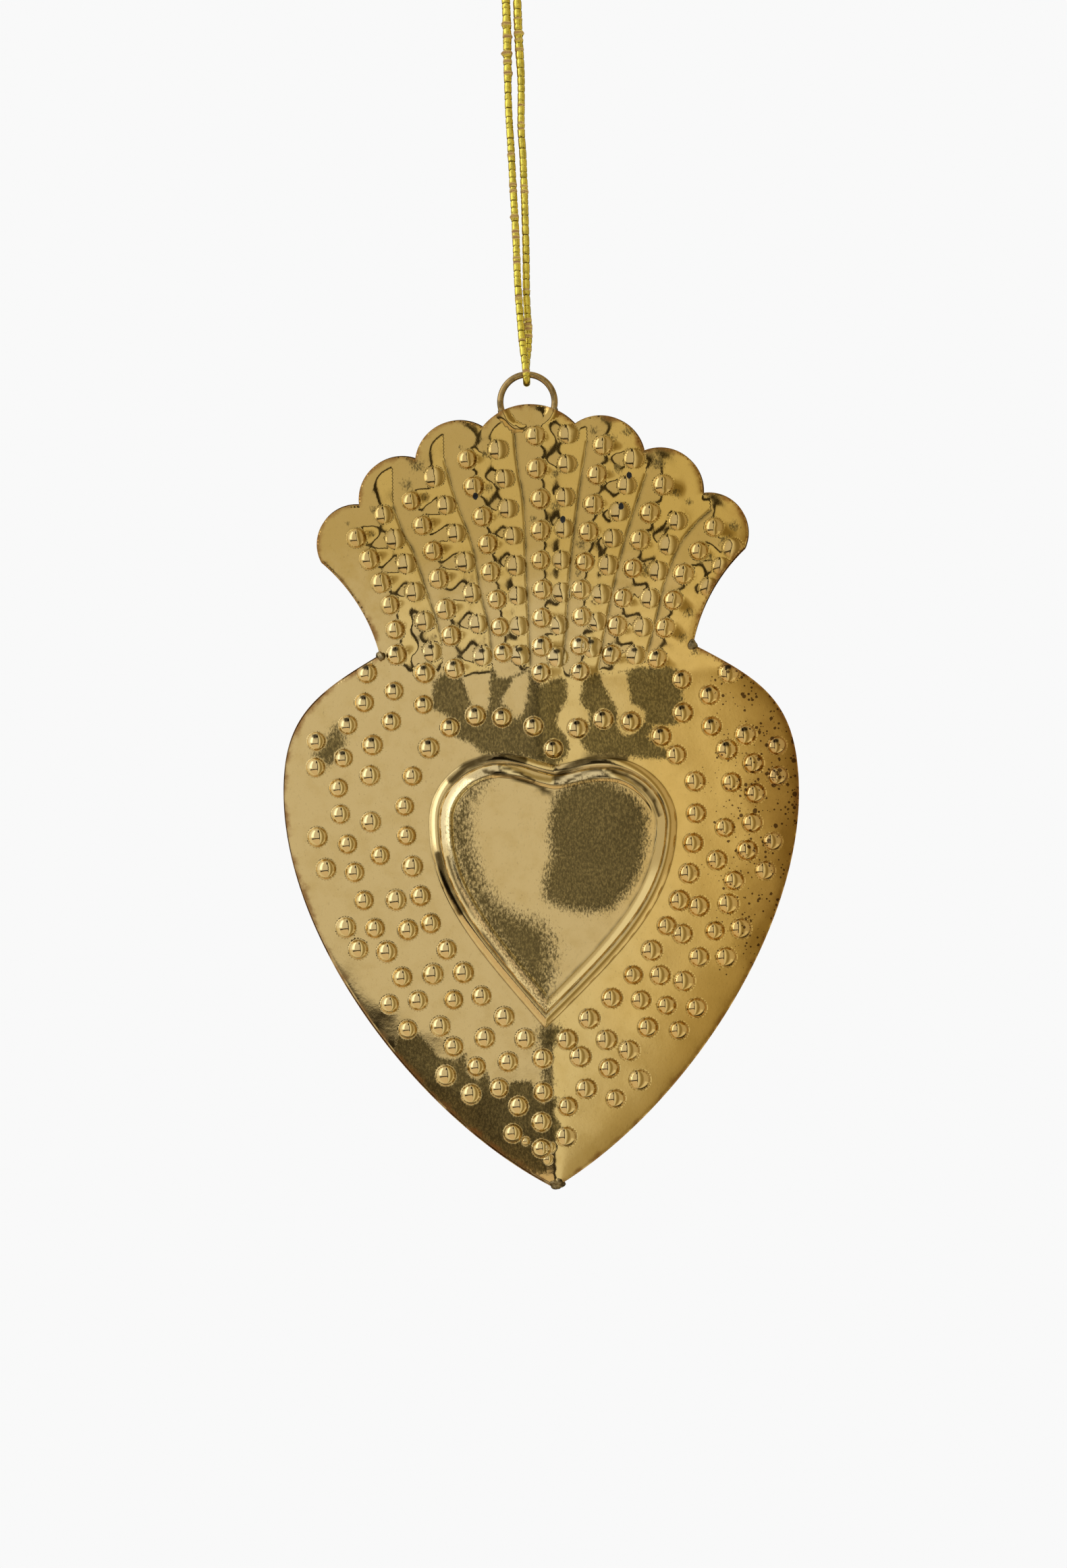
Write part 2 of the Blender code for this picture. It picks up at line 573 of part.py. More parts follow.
def main():
    for old in list(bpy.data.objects):
        bpy.data.objects.remove(old)
    brass = metal("brass", (0.72, 0.50, 0.18), 0.28)
    wire_brass = metal("wire_brass", (0.45, 0.31, 0.14), 0.4)
    tin = metal("solder", (0.42, 0.42, 0.42), 0.5)
    tinsel = metal("tinsel", (0.80, 0.66, 0.20), 0.3)

    knot_body = pivot("knot_body", 0.0)
    cord_knot(knot_body, tinsel)
    cord_body = pivot("cord_body", 0.0)
    hanging_cord(cord_body, tinsel)
    ornament = pivot("ornament", -LOOP_DROP)
    front_sheet(ornament, brass)
    back_sheet(ornament, brass)
    hanging_ring(ornament, wire_brass)
    neck_solder(ornament, tin)
    ring_solder(ornament, tin)
    tip_solder(ornament, tin)


main()
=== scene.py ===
"""Looks of the hollow brass heart ornament: pressed sheets, wire ring, solder and tinsel cord."""

import json
import math

import bmesh
import bpy
import numpy as np
from bpy.props import FloatProperty, FloatVectorProperty, PointerProperty
from mathutils import Matrix, Vector
from mathutils.geometry import delaunay_2d_cdt
from mathutils.kdtree import KDTree


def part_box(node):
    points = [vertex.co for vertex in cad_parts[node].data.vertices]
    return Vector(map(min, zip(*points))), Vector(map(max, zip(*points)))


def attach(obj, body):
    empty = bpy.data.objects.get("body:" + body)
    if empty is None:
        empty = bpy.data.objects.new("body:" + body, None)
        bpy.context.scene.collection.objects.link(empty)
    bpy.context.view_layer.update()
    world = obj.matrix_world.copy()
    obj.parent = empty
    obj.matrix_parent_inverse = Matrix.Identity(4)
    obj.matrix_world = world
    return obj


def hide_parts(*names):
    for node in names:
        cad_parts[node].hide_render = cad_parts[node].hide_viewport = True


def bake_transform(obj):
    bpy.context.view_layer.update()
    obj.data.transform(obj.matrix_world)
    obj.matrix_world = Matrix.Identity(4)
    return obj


bl_info = {
    "name": "Brass heart ornament",
    "version": (1, 0, 0),
    "blender": (4, 5, 0),
    "location": "View3D > Sidebar > Heart",
    "description": "Dresses the heart ornament: embossed brass sheets, ring, solder and tinsel cord",
    "category": "Object",
}

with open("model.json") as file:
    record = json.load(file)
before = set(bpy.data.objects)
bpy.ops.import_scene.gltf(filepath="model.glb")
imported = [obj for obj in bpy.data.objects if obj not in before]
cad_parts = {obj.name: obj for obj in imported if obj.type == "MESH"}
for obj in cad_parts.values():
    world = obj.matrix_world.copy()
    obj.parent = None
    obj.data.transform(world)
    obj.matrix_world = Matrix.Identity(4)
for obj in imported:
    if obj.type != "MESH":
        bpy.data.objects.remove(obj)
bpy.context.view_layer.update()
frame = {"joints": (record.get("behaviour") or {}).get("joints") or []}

MM = 0.001
JOINTS = {joint["name"]: joint for joint in frame["joints"]}
WIRE_TOP = Vector(JOINTS["ring_rock"]["pos_m"])
RING_LOW, RING_HIGH = (Vector(corner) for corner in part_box("hanging_ring"))
WIRE = RING_HIGH.y - RING_LOW.y
RING_RADIUS = (RING_HIGH.x - RING_LOW.x - WIRE) / 2
RING_BEND = 0.004
SHEET_REACH = abs(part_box("front_sheet")[0][1]) / MM

# The photograph: pixels to millimetres on the ornament, its centre and the camera's turn
PHOTO_WIDTH = 1581
PHOTO_HEIGHT = 2324
MM_PER_PIXEL = 0.1094
WIRE_PIXEL = (780.0, 555.2)
ROLL = math.radians(2.1)
CAMERA_DISTANCE = 1.8
SENSOR_HEIGHT = 24.0
STUDIO_RADIUS = 2.5
STUDIO_DROP = 0.07
FLOOR_WIDTH = 2.4
FLOOR_DROP = 0.30
ROOM_GREY = 0.947

# Sheet, in millimetres from the middle of the wire at the top of the ring
SHEET = 0.4
SEAM_GAP = 0.3
EDGE_RISE = 0.55
EDGE_RUN = 3.5
ROOF_SLOPES = (0.085, 0.112)
ROOF_REACH = 20.0
BACK_SKEW = math.radians(0.4)
EDGE_ROUND = 0.12
EDGE_ROUND_RUN = 0.3
BED_ROOM = 0.25
BED_RUN = 1.9
HAMMERING_LENGTH = 11.0
CROWN_TOP_DROP = 4.8
FAN_CENTRE_DROP = 40.7
VALLEY_ANGLES = [math.radians(degrees) for degrees in (13.0, 33.8, 53.7, 71.6)]
VALLEY_REACHES = (33.3, 33.3, 34.6, 36.2)
SCALLOP_RISE = 3.3
CROWN_SIDE_DIP = 1.4
NECK = Vector((25.4, -44.7))
SHOULDER_HANDLE = 13.0
SHOULDER_SLOPE = math.radians(29)
WIDEST = Vector((41.7, -67.8))
SHOULDER_RISE_HANDLE = 13.1
FLANK_HANDLE = 23.3
TIP = Vector((0.0, -131.8))
TIP_HANDLE = 24.6
TIP_SLOPE = math.radians(29)

# Creases between the petals: pixels of the photograph, from the scallops down to the neck
CREASE_MARKS = (
    ((583, 752), (600, 795), (613, 818), (633, 877), (646, 916), (655, 950)),
    ((659, 684), (677, 745), (701, 811), (712, 877), (725, 930), (729, 975)),
    ((762, 640), (767, 690), (777, 755), (780, 850), (784, 930), (786, 985)),
    ((870, 655), (860, 717), (852, 780), (844, 850), (839, 930), (834, 985)),
    ((957, 704), (942, 750), (923, 813), (905, 892), (895, 945), (886, 992)),
    ((1052, 757), (1028, 780), (1005, 812), (985, 865), (972, 920), (960, 965)),
)
PETAL_DEPTH = 0.62
PETAL_SLOPE = 0.060
PETAL_FOOT_DROP = 50.0
GROOVE_DEPTH = 0.07
GROOVE_RUN = 0.30

# Fine lie of the sheet: slope at which a petal turns, how crisply, and the body's least slopes beside its ridge
TURN_SLOPE = 0.06
TURN_STEP = 0.03
TURN_WIDTH = 0.02
FLANK_SLOPES = (0.06, 0.07)
FINGER_SLOPE = 0.16
FINGER_WIDTH = 1.0
FINGER_REACH = 4.3
FINGER_ROOT = 0.7
SOFT_BELL = 0.5
RIDGE_X = -2.7
FIELD_LEANS = (0.05, 0.20, 0.03)

# Raised inner heart
BOSS_TIP = Vector((-0.8, -106.0))
BOSS_LEAN = math.radians(4.2)
BOSS_HALF_WIDTH = 20.0
BOSS_WIDEST = 33.5
BOSS_LOBE = Vector((8.8, 44.2))
BOSS_CLEFT = Vector((0.0, 42.7))
BOSS_FLANK_HANDLES = (12.5, 13.5, 12.5)
BOSS_LOBE_HANDLES = (6.0, 5.5, 4.6)
LEDGE_WIDTH = 1.5
LEDGE_RISE = 0.80
BEVEL_WIDTH = 1.75
BEVEL_RISE = 1.45
PLATEAU_DIP = 0.25
PLATEAU_SWELL = 0.15
PLATEAU_SWELL_RUN = 9.0

# Painted shade lines along the inner heart, at its foot, groove and ridge: distance inside its foot, width and strength
BOSS_SHADE_LINES = ((0.0, 0.12, 0.6), (LEDGE_WIDTH, 0.14, 1.0), (LEDGE_WIDTH + BEVEL_WIDTH + 0.1, 0.10, 1.0))

# Domes: radius and rise of those on the body, and rise of those on each side of a petal
DOME_RADIUS = 1.60
DOME_RISE = 0.95
SKIRT_RISE = 0.52
SKIRT_RUN = 1.7
FOOT_DEPTH = 0.03
FOOT_RUN = 0.13
# Painted shade with some grime in a thin line round each dome's foot: strength and width
FOOT_SHADE_STRENGTH = 0.45
FOOT_SHADE_WIDTH = 0.08
BODY_SKIRT = 0.08
PETAL_DOME_RISES = (0.85, 0.42)
PETAL_SKIRTS = (0.5, 0.35)

# Columns of domes down the petals, left and right in turn: first, middle and last place, and how many
PETAL_COLUMNS = (
    ((-28.5, -25.4), (-24.0, -34.6), (-22.6, -44.5), 6), ((-23.8, -21.9), (-19.8, -32.4), (-16.7, -44.3), 6),
    ((-19.5, -19.8), (-15.1, -32.5), (-13.4, -47.1), 7), ((-15.4, -16.2), (-11.0, -30.1), (-8.8, -45.2), 7),
    ((-10.1, -13.4), (-7.0, -29.6), (-5.4, -45.1), 8), ((-5.0, -12.0), (-3.0, -28.6), (-2.6, -45.6), 8),
    ((1.0, -10.0), (1.3, -30.2), (0.6, -48.3), 9), ((6.4, -9.8), (5.0, -27.8), (3.4, -45.8), 8),
    ((12.1, -12.1), (8.3, -30.7), (7.0, -48.5), 9), ((17.0, -14.3), (12.5, -29.3), (9.2, -44.7), 8),
    ((21.4, -18.7), (15.8, -32.1), (12.2, -45.9), 7), ((23.8, -24.8), (19.5, -34.8), (16.2, -46.2), 6),
    ((29.5, -25.9), (23.3, -35.3), (19.6, -46.7), 6), ((32.3, -29.4), (30.7, -32.4), (28.3, -35.7), 3),
)

# Rows of domes on the body: first, middle and last place, and how many
BODY_ROWS = (
    ((-22.2, -69.2), (-18.5, -88.3), (-7.3, -103.9), 9), ((25.0, -66.8), (21.7, -86.0), (10.2, -101.4), 9),
    ((29.5, -86.9), (19.1, -103.0), (5.7, -115.9), 9), ((-32.6, -70.0), (-28.5, -86.5), (-21.2, -100.8), 8),
    ((-20.8, -64.6), (-12.4, -55.6), (-0.9, -57.2), 6), ((33.7, -59.7), (34.5, -71.5), (30.7, -83.1), 6),
    ((-17.0, -113.0), (-7.0, -111.1), (4.6, -111.0), 5), ((2.2, -60.7), (10.5, -56.3), (19.7, -59.4), 5),
    ((-27.6, -47.3), (-29.2, -54.1), (-36.2, -58.0), 4), ((-18.6, -52.7), (-25.6, -57.1), (-27.7, -64.0), 4),
    ((-8.6, -115.4), (-3.8, -119.8), (2.1, -123.7), 4), ((23.3, -55.7), (29.5, -59.9), (30.8, -67.3), 4),
    ((-4.2, -107.5), (-10.6, -107.3), (-15.8, -108.5), 3),
)

# Pairs of domes and single ones, between the rows
BODY_PAIRS = (
    ((-31.7, -61.1), (-36.6, -62.5)), ((-36.6, -73.5), (-35.5, -78.9)), ((-27.5, -71.6), (-26.3, -76.9)),
    ((-24.1, -84.5), (-22.4, -89.3)), ((-32.7, -88.7), (-30.6, -92.1)), ((-18.5, -96.5), (-15.5, -100.9)),
    ((-25.9, -101.3), (-23.0, -105.4)), ((-6.8, -122.9), (-2.3, -125.5)), ((23.4, -50.4), (27.9, -52.8)),
    ((38.3, -61.6), (38.3, -66.3)), ((29.5, -74.5), (28.1, -79.5)), ((37.2, -77.2), (35.7, -81.7)),
    ((24.8, -87.2), (22.3, -91.5)), ((31.4, -91.1), (28.7, -95.7)), ((18.1, -98.1), (14.8, -101.9)),
    ((23.8, -103.7), (20.6, -107.1)), ((6.4, -104.7), (2.5, -107.9)), ((14.0, -114.8), (10.2, -117.8)),
    ((2.3, -118.9), (-1.4, -116.2)), ((-32.9, -65.8), (-17.6, -105.2)), ((-13.3, -116.3), (22.1, -62.6)),
    ((31.1, -49.6), (9.2, -108.1)), ((-23.3, -50.4), (-18.3, -47.8)),
)

# Small domes punched at the tip: pixel, radius and rise
TIP_DOMES = (((779, 1691), 0.70, 0.36), ((816, 1700), 0.85, 0.32), ((812, 1718), 0.80, 0.28))

# Width of the clean ring that a dome keeps in the painted dark reflection, and the heights between which domes carry a
# black blob of painted reflection
HALO = 0.55
REFLECTION_BLOB_BAND = (-62.0, -42.0)

# Lumps of solder over the necks, round the ring's legs and on the tip: place from the wire, and half sizes
LUMPS = {
    "solder_neck": ((25.1, -44.9), (1.15, 1.45, 1.2)),
    "solder_ring": ((4.3, -5.85), (0.62, 0.70, 0.62)),
    "solder_tip": ((0.2, -131.0), (1.5, 1.1, 1.3)),
}
LUMP_WAVES = 7
LUMP_CORE = 0.88
LUMP_CRUMBLE = 4.5
LUMP_SWELL = 0.035

# Facets
RIM_STEP = 0.5
LINE_STEP = 0.3
BOSS_STEP = 0.2
LATTICE = 0.85
CROWN_LATTICE = 0.32
HOLLOW_LATTICE = 3.0
DOME_RINGS = ((0.3, 8), (0.6, 14), (0.82, 20), (0.94, 28), (1.0, 32), (1.06, 28), (1.2, 22), (1.45, 18))
NUDGE = 0.02

# Cord: routes of the two strands from the knot to the ring, height above the wire, x and y
CORD_DIAMETER = 1.15
CORD_CLEARANCE = 0.3
LEFT_ROUTE = ((64.7, -1.15, 0.00), (56.4, -1.09, 0.00), (44.4, -1.31, 0.00), (36.7, -1.15, 0.00),
              (30.7, -1.05, -0.08), (23.0, -0.89, -0.20), (14.8, -0.86, -0.42), (6.1, -0.52, -0.75),
              (1.9, -0.15, -1.25))
RIGHT_ROUTE = ((64.7, 0.75, 0.00), (55.3, 0.73, 0.00), (47.6, 0.89, 0.00), (40.0, 0.61, 0.00),
               (34.5, 0.74, 0.05), (21.4, 0.69, 0.20), (12.6, 0.48, 0.52), (6.1, 0.57, 0.78),
               (1.9, 0.08, 1.28))
FOIL_TURN = 1.25
KNOT_TURNS = 3.0
CORD_RING_STEP = 0.14
CORD_SIDES = 14

# Tufts of thread that stand out of the cord: pixel, rise in millimetres and side
TUFTS = (
    ((750, 36), 0.30, 0), ((749, 55), 0.22, 1), ((749, 80), 0.34, 0), ((749, 110), 0.26, 1), ((767, 50), 0.26, 1),
    ((762, 322), 0.24, 0), ((777, 285), 0.12, 1), ((785, 482), 0.34, 0), ((768, 345), 0.10, 0), ((760, 230), 0.10, 0),
)

# The cord swells above this height, and bare thread shows in a band for each so many millimetres
THICK_ABOVE = 45.0
THICKER = 0.16
BAND_EVERY = 5
BAND_WIDTHS = (0.14, 0.34)


# Sizes and colours that the panel offers: name, value and what it is
SIZES = (
    ("dome_rise", DOME_RISE, "How far a punched dome stands up"),
    ("skirt_rise", SKIRT_RISE, "How far the sheet swells up round a dome"),
    ("petal_depth", PETAL_DEPTH, "How deep the creases lie between the petals"),
    ("hammering", 0.035, "Height of the broad waves left by handwork"),
)
COLOURS = (
    ("brass", (0.70, 0.52, 0.225), "Bright brass on the left of the ornament"),
    # Painted shade: the right side yellower and darker, as under the dimmer light from the right
    ("warm_brass", (0.70, 0.465, 0.145), "Yellower brass on its right"),
    ("crown_brass", (0.53, 0.345, 0.085), "Browner brass of the crown and of clouds on it"),
    # Rubbed wear with painted highlight, on the inner heart's frame and the dome caps
    ("polished", (0.80, 0.64, 0.34), "Rubbed brass on the bevel of the inner heart"),
    # This colour paints the dark reflection patches, and tarnish mottle in the grain
    ("olive", (0.150, 0.108, 0.037), "Dark patches of tarnish"),
    ("rust", (0.26, 0.10, 0.025), "Orange-brown tarnish along the edges"),
    ("wire", (0.42, 0.285, 0.115), "Aged brass wire of the ring"),
    ("solder", (0.34, 0.26, 0.13), "Grey solder"),
    ("foil", (0.93, 0.77, 0.12), "Gold foil of the tinsel cord"),
    ("thread", (0.33, 0.15, 0.045), "Brown thread that shows between turns of foil"),
)


class HeartSizes(bpy.types.PropertyGroup):
    """Sizes of the embossing, in metres."""

    __annotations__ = {name: FloatProperty(name=name.replace("_", " ").capitalize(), description=about,
                                           default=size * MM, unit="LENGTH") for name, size, about in SIZES}


class HeartColours(bpy.types.PropertyGroup):
    """Colours of the finishes."""

    __annotations__ = {name: FloatVectorProperty(name=name.replace("_", " ").capitalize(), description=about,
                                                 default=colour, subtype="COLOR") for name, colour, about in COLOURS}


def cubic(start, out_handle, in_handle, end, step):
    """Points of a Bezier curve from start, without its end point."""
    corners = [np.array(corner, float) for corner in (start, out_handle, in_handle, end)]
    count = max(3, round(float(np.linalg.norm(corners[0] - corners[3])) / step))
    t = (np.arange(count) / count)[:, None]
    s = 1 - t
    return s ** 3 * corners[0] + 3 * s * s * t * corners[1] + 3 * s * t * t * corners[2] + t ** 3 * corners[3]


def arc(start, end, rise, step):
    """Points of a circular arc from start, without its end point, bulging to the left of its chord."""
    start = Vector(start)
    end = Vector(end)
    chord = end - start
    half = chord.length / 2
    radius = (half * half + rise * rise) / (2 * rise)
    normal = Vector((-chord.y, chord.x)).normalized()
    centre = (start + end) / 2 + normal * (rise - radius)
    sweep = 2 * math.atan2(half, radius - rise)
    count = max(4, round(sweep * radius / step))
    return np.array([centre + Matrix.Rotation(-sweep * i / count, 2) @ (start - centre) for i in range(count)])


def mirrored(line):
    return line * (-1, 1)


def fan_point(angle, reach):
    """A point of the crown at this angle from upright, seen from the centre of the fan."""
    return Vector((reach * math.sin(angle), -FAN_CENTRE_DROP + reach * math.cos(angle)))


def crown_side(step):
    """Right side of the crown, from its lower corner down to the neck, without the neck."""
    corner = fan_point(VALLEY_ANGLES[-1], VALLEY_REACHES[-1])
    return np.vstack([arc(NECK, corner, CROWN_SIDE_DIP, step), [corner]])[:0:-1]


def plate_outline(step):
    """Closed outline of a sheet, clockwise from the valley right of the top petal."""
    valleys = [fan_point(angle, reach) for angle, reach in zip(VALLEY_ANGLES, VALLEY_REACHES)]
    scallops = [arc(start, end, SCALLOP_RISE, step) for start, end in zip(valleys, valleys[1:])]
    neck_out = NECK + SHOULDER_HANDLE * Vector((math.cos(SHOULDER_SLOPE), -math.sin(SHOULDER_SLOPE)))
    tip_in = TIP + TIP_HANDLE * Vector((math.cos(TIP_SLOPE), math.sin(TIP_SLOPE)))
    shoulder = cubic(NECK, neck_out, WIDEST + Vector((0.0, SHOULDER_RISE_HANDLE)), WIDEST, step)
    flank = cubic(WIDEST, WIDEST - Vector((0.0, FLANK_HANDLE)), tip_in, TIP, step)
    side = np.vstack(scallops + [crown_side(step), shoulder, flank])
    left = mirrored(side)[::-1]
    top = arc(left[-1], side[0], -CROWN_TOP_DROP - valleys[0].y, step)
    return np.vstack([side, [TIP], left[:-1], top])


def boss_outline(step):
    """Closed outline of the inner heart's foot, from its tip."""
    widest = Vector((BOSS_HALF_WIDTH, BOSS_WIDEST))
    across, up, down = BOSS_FLANK_HANDLES
    shoulder, outwards, inwards = BOSS_LOBE_HANDLES
    right = np.vstack([
        cubic((0.0, 0.0), (across, up), widest - Vector((0.0, down)), widest, step),
        cubic(widest, widest + Vector((0.0, shoulder)), BOSS_LOBE + Vector((outwards, 0.0)), BOSS_LOBE, step),
        cubic(BOSS_LOBE, BOSS_LOBE - Vector((inwards, 0.0)), BOSS_CLEFT.lerp(BOSS_LOBE, 0.4), BOSS_CLEFT, step),
    ])
    loop = np.vstack([right, [BOSS_CLEFT], mirrored(right)[:0:-1]])
    cosine, sine = math.cos(BOSS_LEAN), math.sin(BOSS_LEAN)
    return loop @ np.array([[cosine, -sine], [sine, cosine]]) + np.array(BOSS_TIP)


def from_photo(pixel):
    """The place on the ornament, in millimetres from the wire, that this pixel of the photograph shows."""
    dx = pixel[0] - WIRE_PIXEL[0]
    dy = pixel[1] - WIRE_PIXEL[1]
    cosine, sine = math.cos(ROLL), math.sin(ROLL)
    return ((cosine * dx - sine * dy) * MM_PER_PIXEL, -(sine * dx + cosine * dy) * MM_PER_PIXEL)


def smooth_route(marks, step):
    """Evenly spaced points of a smooth curve through the points of a route."""
    ends = [2 * marks[0] - marks[1]] + marks + [2 * marks[-1] - marks[-2]]
    fine = []
    for a, b, c, d in zip(ends, ends[1:], ends[2:], ends[3:]):
        for t in [k / 12 for k in range(12)]:
            curve = (2 * b) + (c - a) * t + (2 * a - 5 * b + 4 * c - d) * t ** 2
            fine.append((curve + (3 * b - a - 3 * c + d) * t ** 3) / 2)
    fine.append(marks[-1])
    fine = np.array([list(point) for point in fine])
    walked = np.concatenate([[0], np.cumsum(np.linalg.norm(np.diff(fine, axis=0), axis=1))])
    places = np.linspace(0, walked[-1], max(2, round(walked[-1] / step)))
    return np.stack([np.interp(places, walked, fine[:, i]) for i in range(3)], axis=1)


def crease_lines(step):
    """The lines pressed between the petals, each from its scallop down to the neck."""
    lines = []
    for marks in CREASE_MARKS:
        places = [Vector((*from_photo(pixel), 0.0)) for pixel in marks]
        lines.append(smooth_route(places, step)[:, :2])
    return lines


def nearest(points, line, closed=False):
    """Least distance of each point to a line of points, and the direction straight away from it."""
    starts = line if closed else line[:-1]
    ends = np.roll(line, -1, axis=0) if closed else line[1:]
    runs = ends - starts
    lengths = (runs ** 2).sum(axis=1)
    least = np.empty(len(points))
    away = np.empty((len(points), 2))
    for first in range(0, len(points), 4096):
        block = points[first:first + 4096]
        t = np.clip((block @ runs.T - (starts * runs).sum(axis=1)) / lengths, 0, 1)
        gap_x = block[:, :1] - starts[:, 0] - t * runs[:, 0]
        gap_z = block[:, 1:] - starts[:, 1] - t * runs[:, 1]
        squared = gap_x ** 2 + gap_z ** 2
        best = squared.argmin(axis=1)
        rows = np.arange(len(block))
        distance = np.sqrt(squared[rows, best])
        least[first:first + 4096] = distance
        gap = np.stack([gap_x[rows, best], gap_z[rows, best]], axis=1)
        away[first:first + 4096] = gap / np.maximum(distance, 1e-9)[:, None]
    return least, away


def distance_to(points, line, closed=False):
    return nearest(points, line, closed)[0]


def inside(points, loop):
    """Whether each point is inside a closed outline."""
    ends = np.roll(loop, -1, axis=0)
    crossings = np.zeros(len(points), int)
    for (ax, ay), (bx, by) in zip(loop, ends):
        if ay != by:
            between = (ay > points[:, 1]) != (by > points[:, 1])
            crossings += between & (points[:, 0] < ax + (points[:, 1] - ay) / (by - ay) * (bx - ax))
    return crossings % 2 == 1


def ease(t):
    """Rises smoothly from 0 to 1."""
    t = np.clip(t, 0, 1)
    return t * t * (3 - 2 * t)


def along_row(first, middle, last, count):
    """Evenly spaced places on the smooth row through three places."""
    t = np.linspace(0, 1, count)[:, None]
    first, middle, last = (np.array(place) for place in (first, middle, last))
    return (1 - t) * (1 - 2 * t) * first + 4 * t * (1 - t) * middle + t * (2 * t - 1) * last


def petal_middles():
    """The line down the middle of each petal, between its two columns of domes, from the bottom up."""
    lines = []
    for left, right in zip(PETAL_COLUMNS[::2], PETAL_COLUMNS[1::2]):
        places = [(np.array(a) + np.array(b)) / 2 for a, b in zip(left[:3], right[:3])]
        lines.append(along_row(*places, 30)[::-1])
    return lines


RIM = plate_outline(RIM_STEP)
CREASES = crease_lines(LINE_STEP)
PETAL_EDGES = [mirrored(crown_side(LINE_STEP))] + CREASES + [crown_side(LINE_STEP)]
MIDDLES = petal_middles()
BOSS = boss_outline(BOSS_STEP)
RING_CENTRE = np.array((0.0, -RING_RADIUS / MM))


def domes():
    """Places, radii, rises and shares of skirt of all the domes."""
    places = []
    rises = []
    for i, column in enumerate(PETAL_COLUMNS):
        places.append(along_row(*column))
        rises += [PETAL_DOME_RISES[i % 2]] * column[3]
    for row in BODY_ROWS:
        places.append(along_row(*row))
    places += [np.array(pair) for pair in BODY_PAIRS]
    places = np.vstack(places)
    skirts = [PETAL_SKIRTS[i % 2] for i, column in enumerate(PETAL_COLUMNS) for _ in range(column[3])]
    skirts = np.array(skirts + [BODY_SKIRT] * (len(places) - len(skirts)))
    rises += [DOME_RISE] * (len(places) - len(rises))
    chance = np.random.default_rng(7)
    scale = chance.uniform(0.93, 1.05, len(places))
    places = places + chance.normal(0.0, 0.12, places.shape)
    rises = np.array(rises) * chance.uniform(0.85, 1.1, len(places))
    small = [(from_photo(pixel), radius, rise) for pixel, radius, rise in TIP_DOMES]
    return (np.vstack([places, [place for place, _, _ in small]]),
            np.concatenate([DOME_RADIUS * scale, [radius for _, radius, _ in small]]),
            np.concatenate([rises, [rise for _, _, rise in small]]),
            np.concatenate([skirts, [0.0] * len(small)]))


DOME_PLACES, DOME_RADII, DOME_RISES, DOME_SKIRTS = domes()


def waves(points, seed, wavelength):
    """Broad random waves, about -1 to 1."""
    chance = np.random.default_rng(seed)
    total = np.zeros(len(points))
    for _ in range(9):
        angle, phase = chance.uniform(0, math.tau, 2)
        length = wavelength * chance.uniform(0.7, 1.6)
        total += np.sin(points @ (math.cos(angle), math.sin(angle)) * math.tau / length + phase)
    return total / 3


def boss_profile(depth):
    """Rise of the inner heart at this distance inside its foot: a ledge, a groove, a bevel and a plateau."""
    ledge = LEDGE_RISE * np.sin(np.clip(depth / LEDGE_WIDTH, 0, 1) * math.pi / 2)
    climb = np.clip((depth - LEDGE_WIDTH) / BEVEL_WIDTH, 0, 1)
    bevel = BEVEL_RISE * (0.75 * climb + 0.25 * np.sin(climb * math.pi / 2))
    groove = 0.12 * np.exp(-((depth - LEDGE_WIDTH) / 0.16) ** 2)
    inner = depth - LEDGE_WIDTH - BEVEL_WIDTH
    return ledge + bevel - groove - PLATEAU_DIP * ease(inner / 0.8)


def in_crown(points):
    """1 in the crown, falling to 0 below its foot."""
    return ease((points[:, 1] + PETAL_FOOT_DROP) / 3.0)


def roof_slope(x):
    """Slope of the sheet from its rim, steeper on the right."""
    left, right = ROOF_SLOPES
    return left + (right - left) * ease(0.5 + x / 40.0)


def lean_of(line):
    """How far a petal's middle line goes to the right for each millimetre up."""
    return (line[-1, 0] - line[0, 0]) / (line[-1, 1] - line[0, 1])


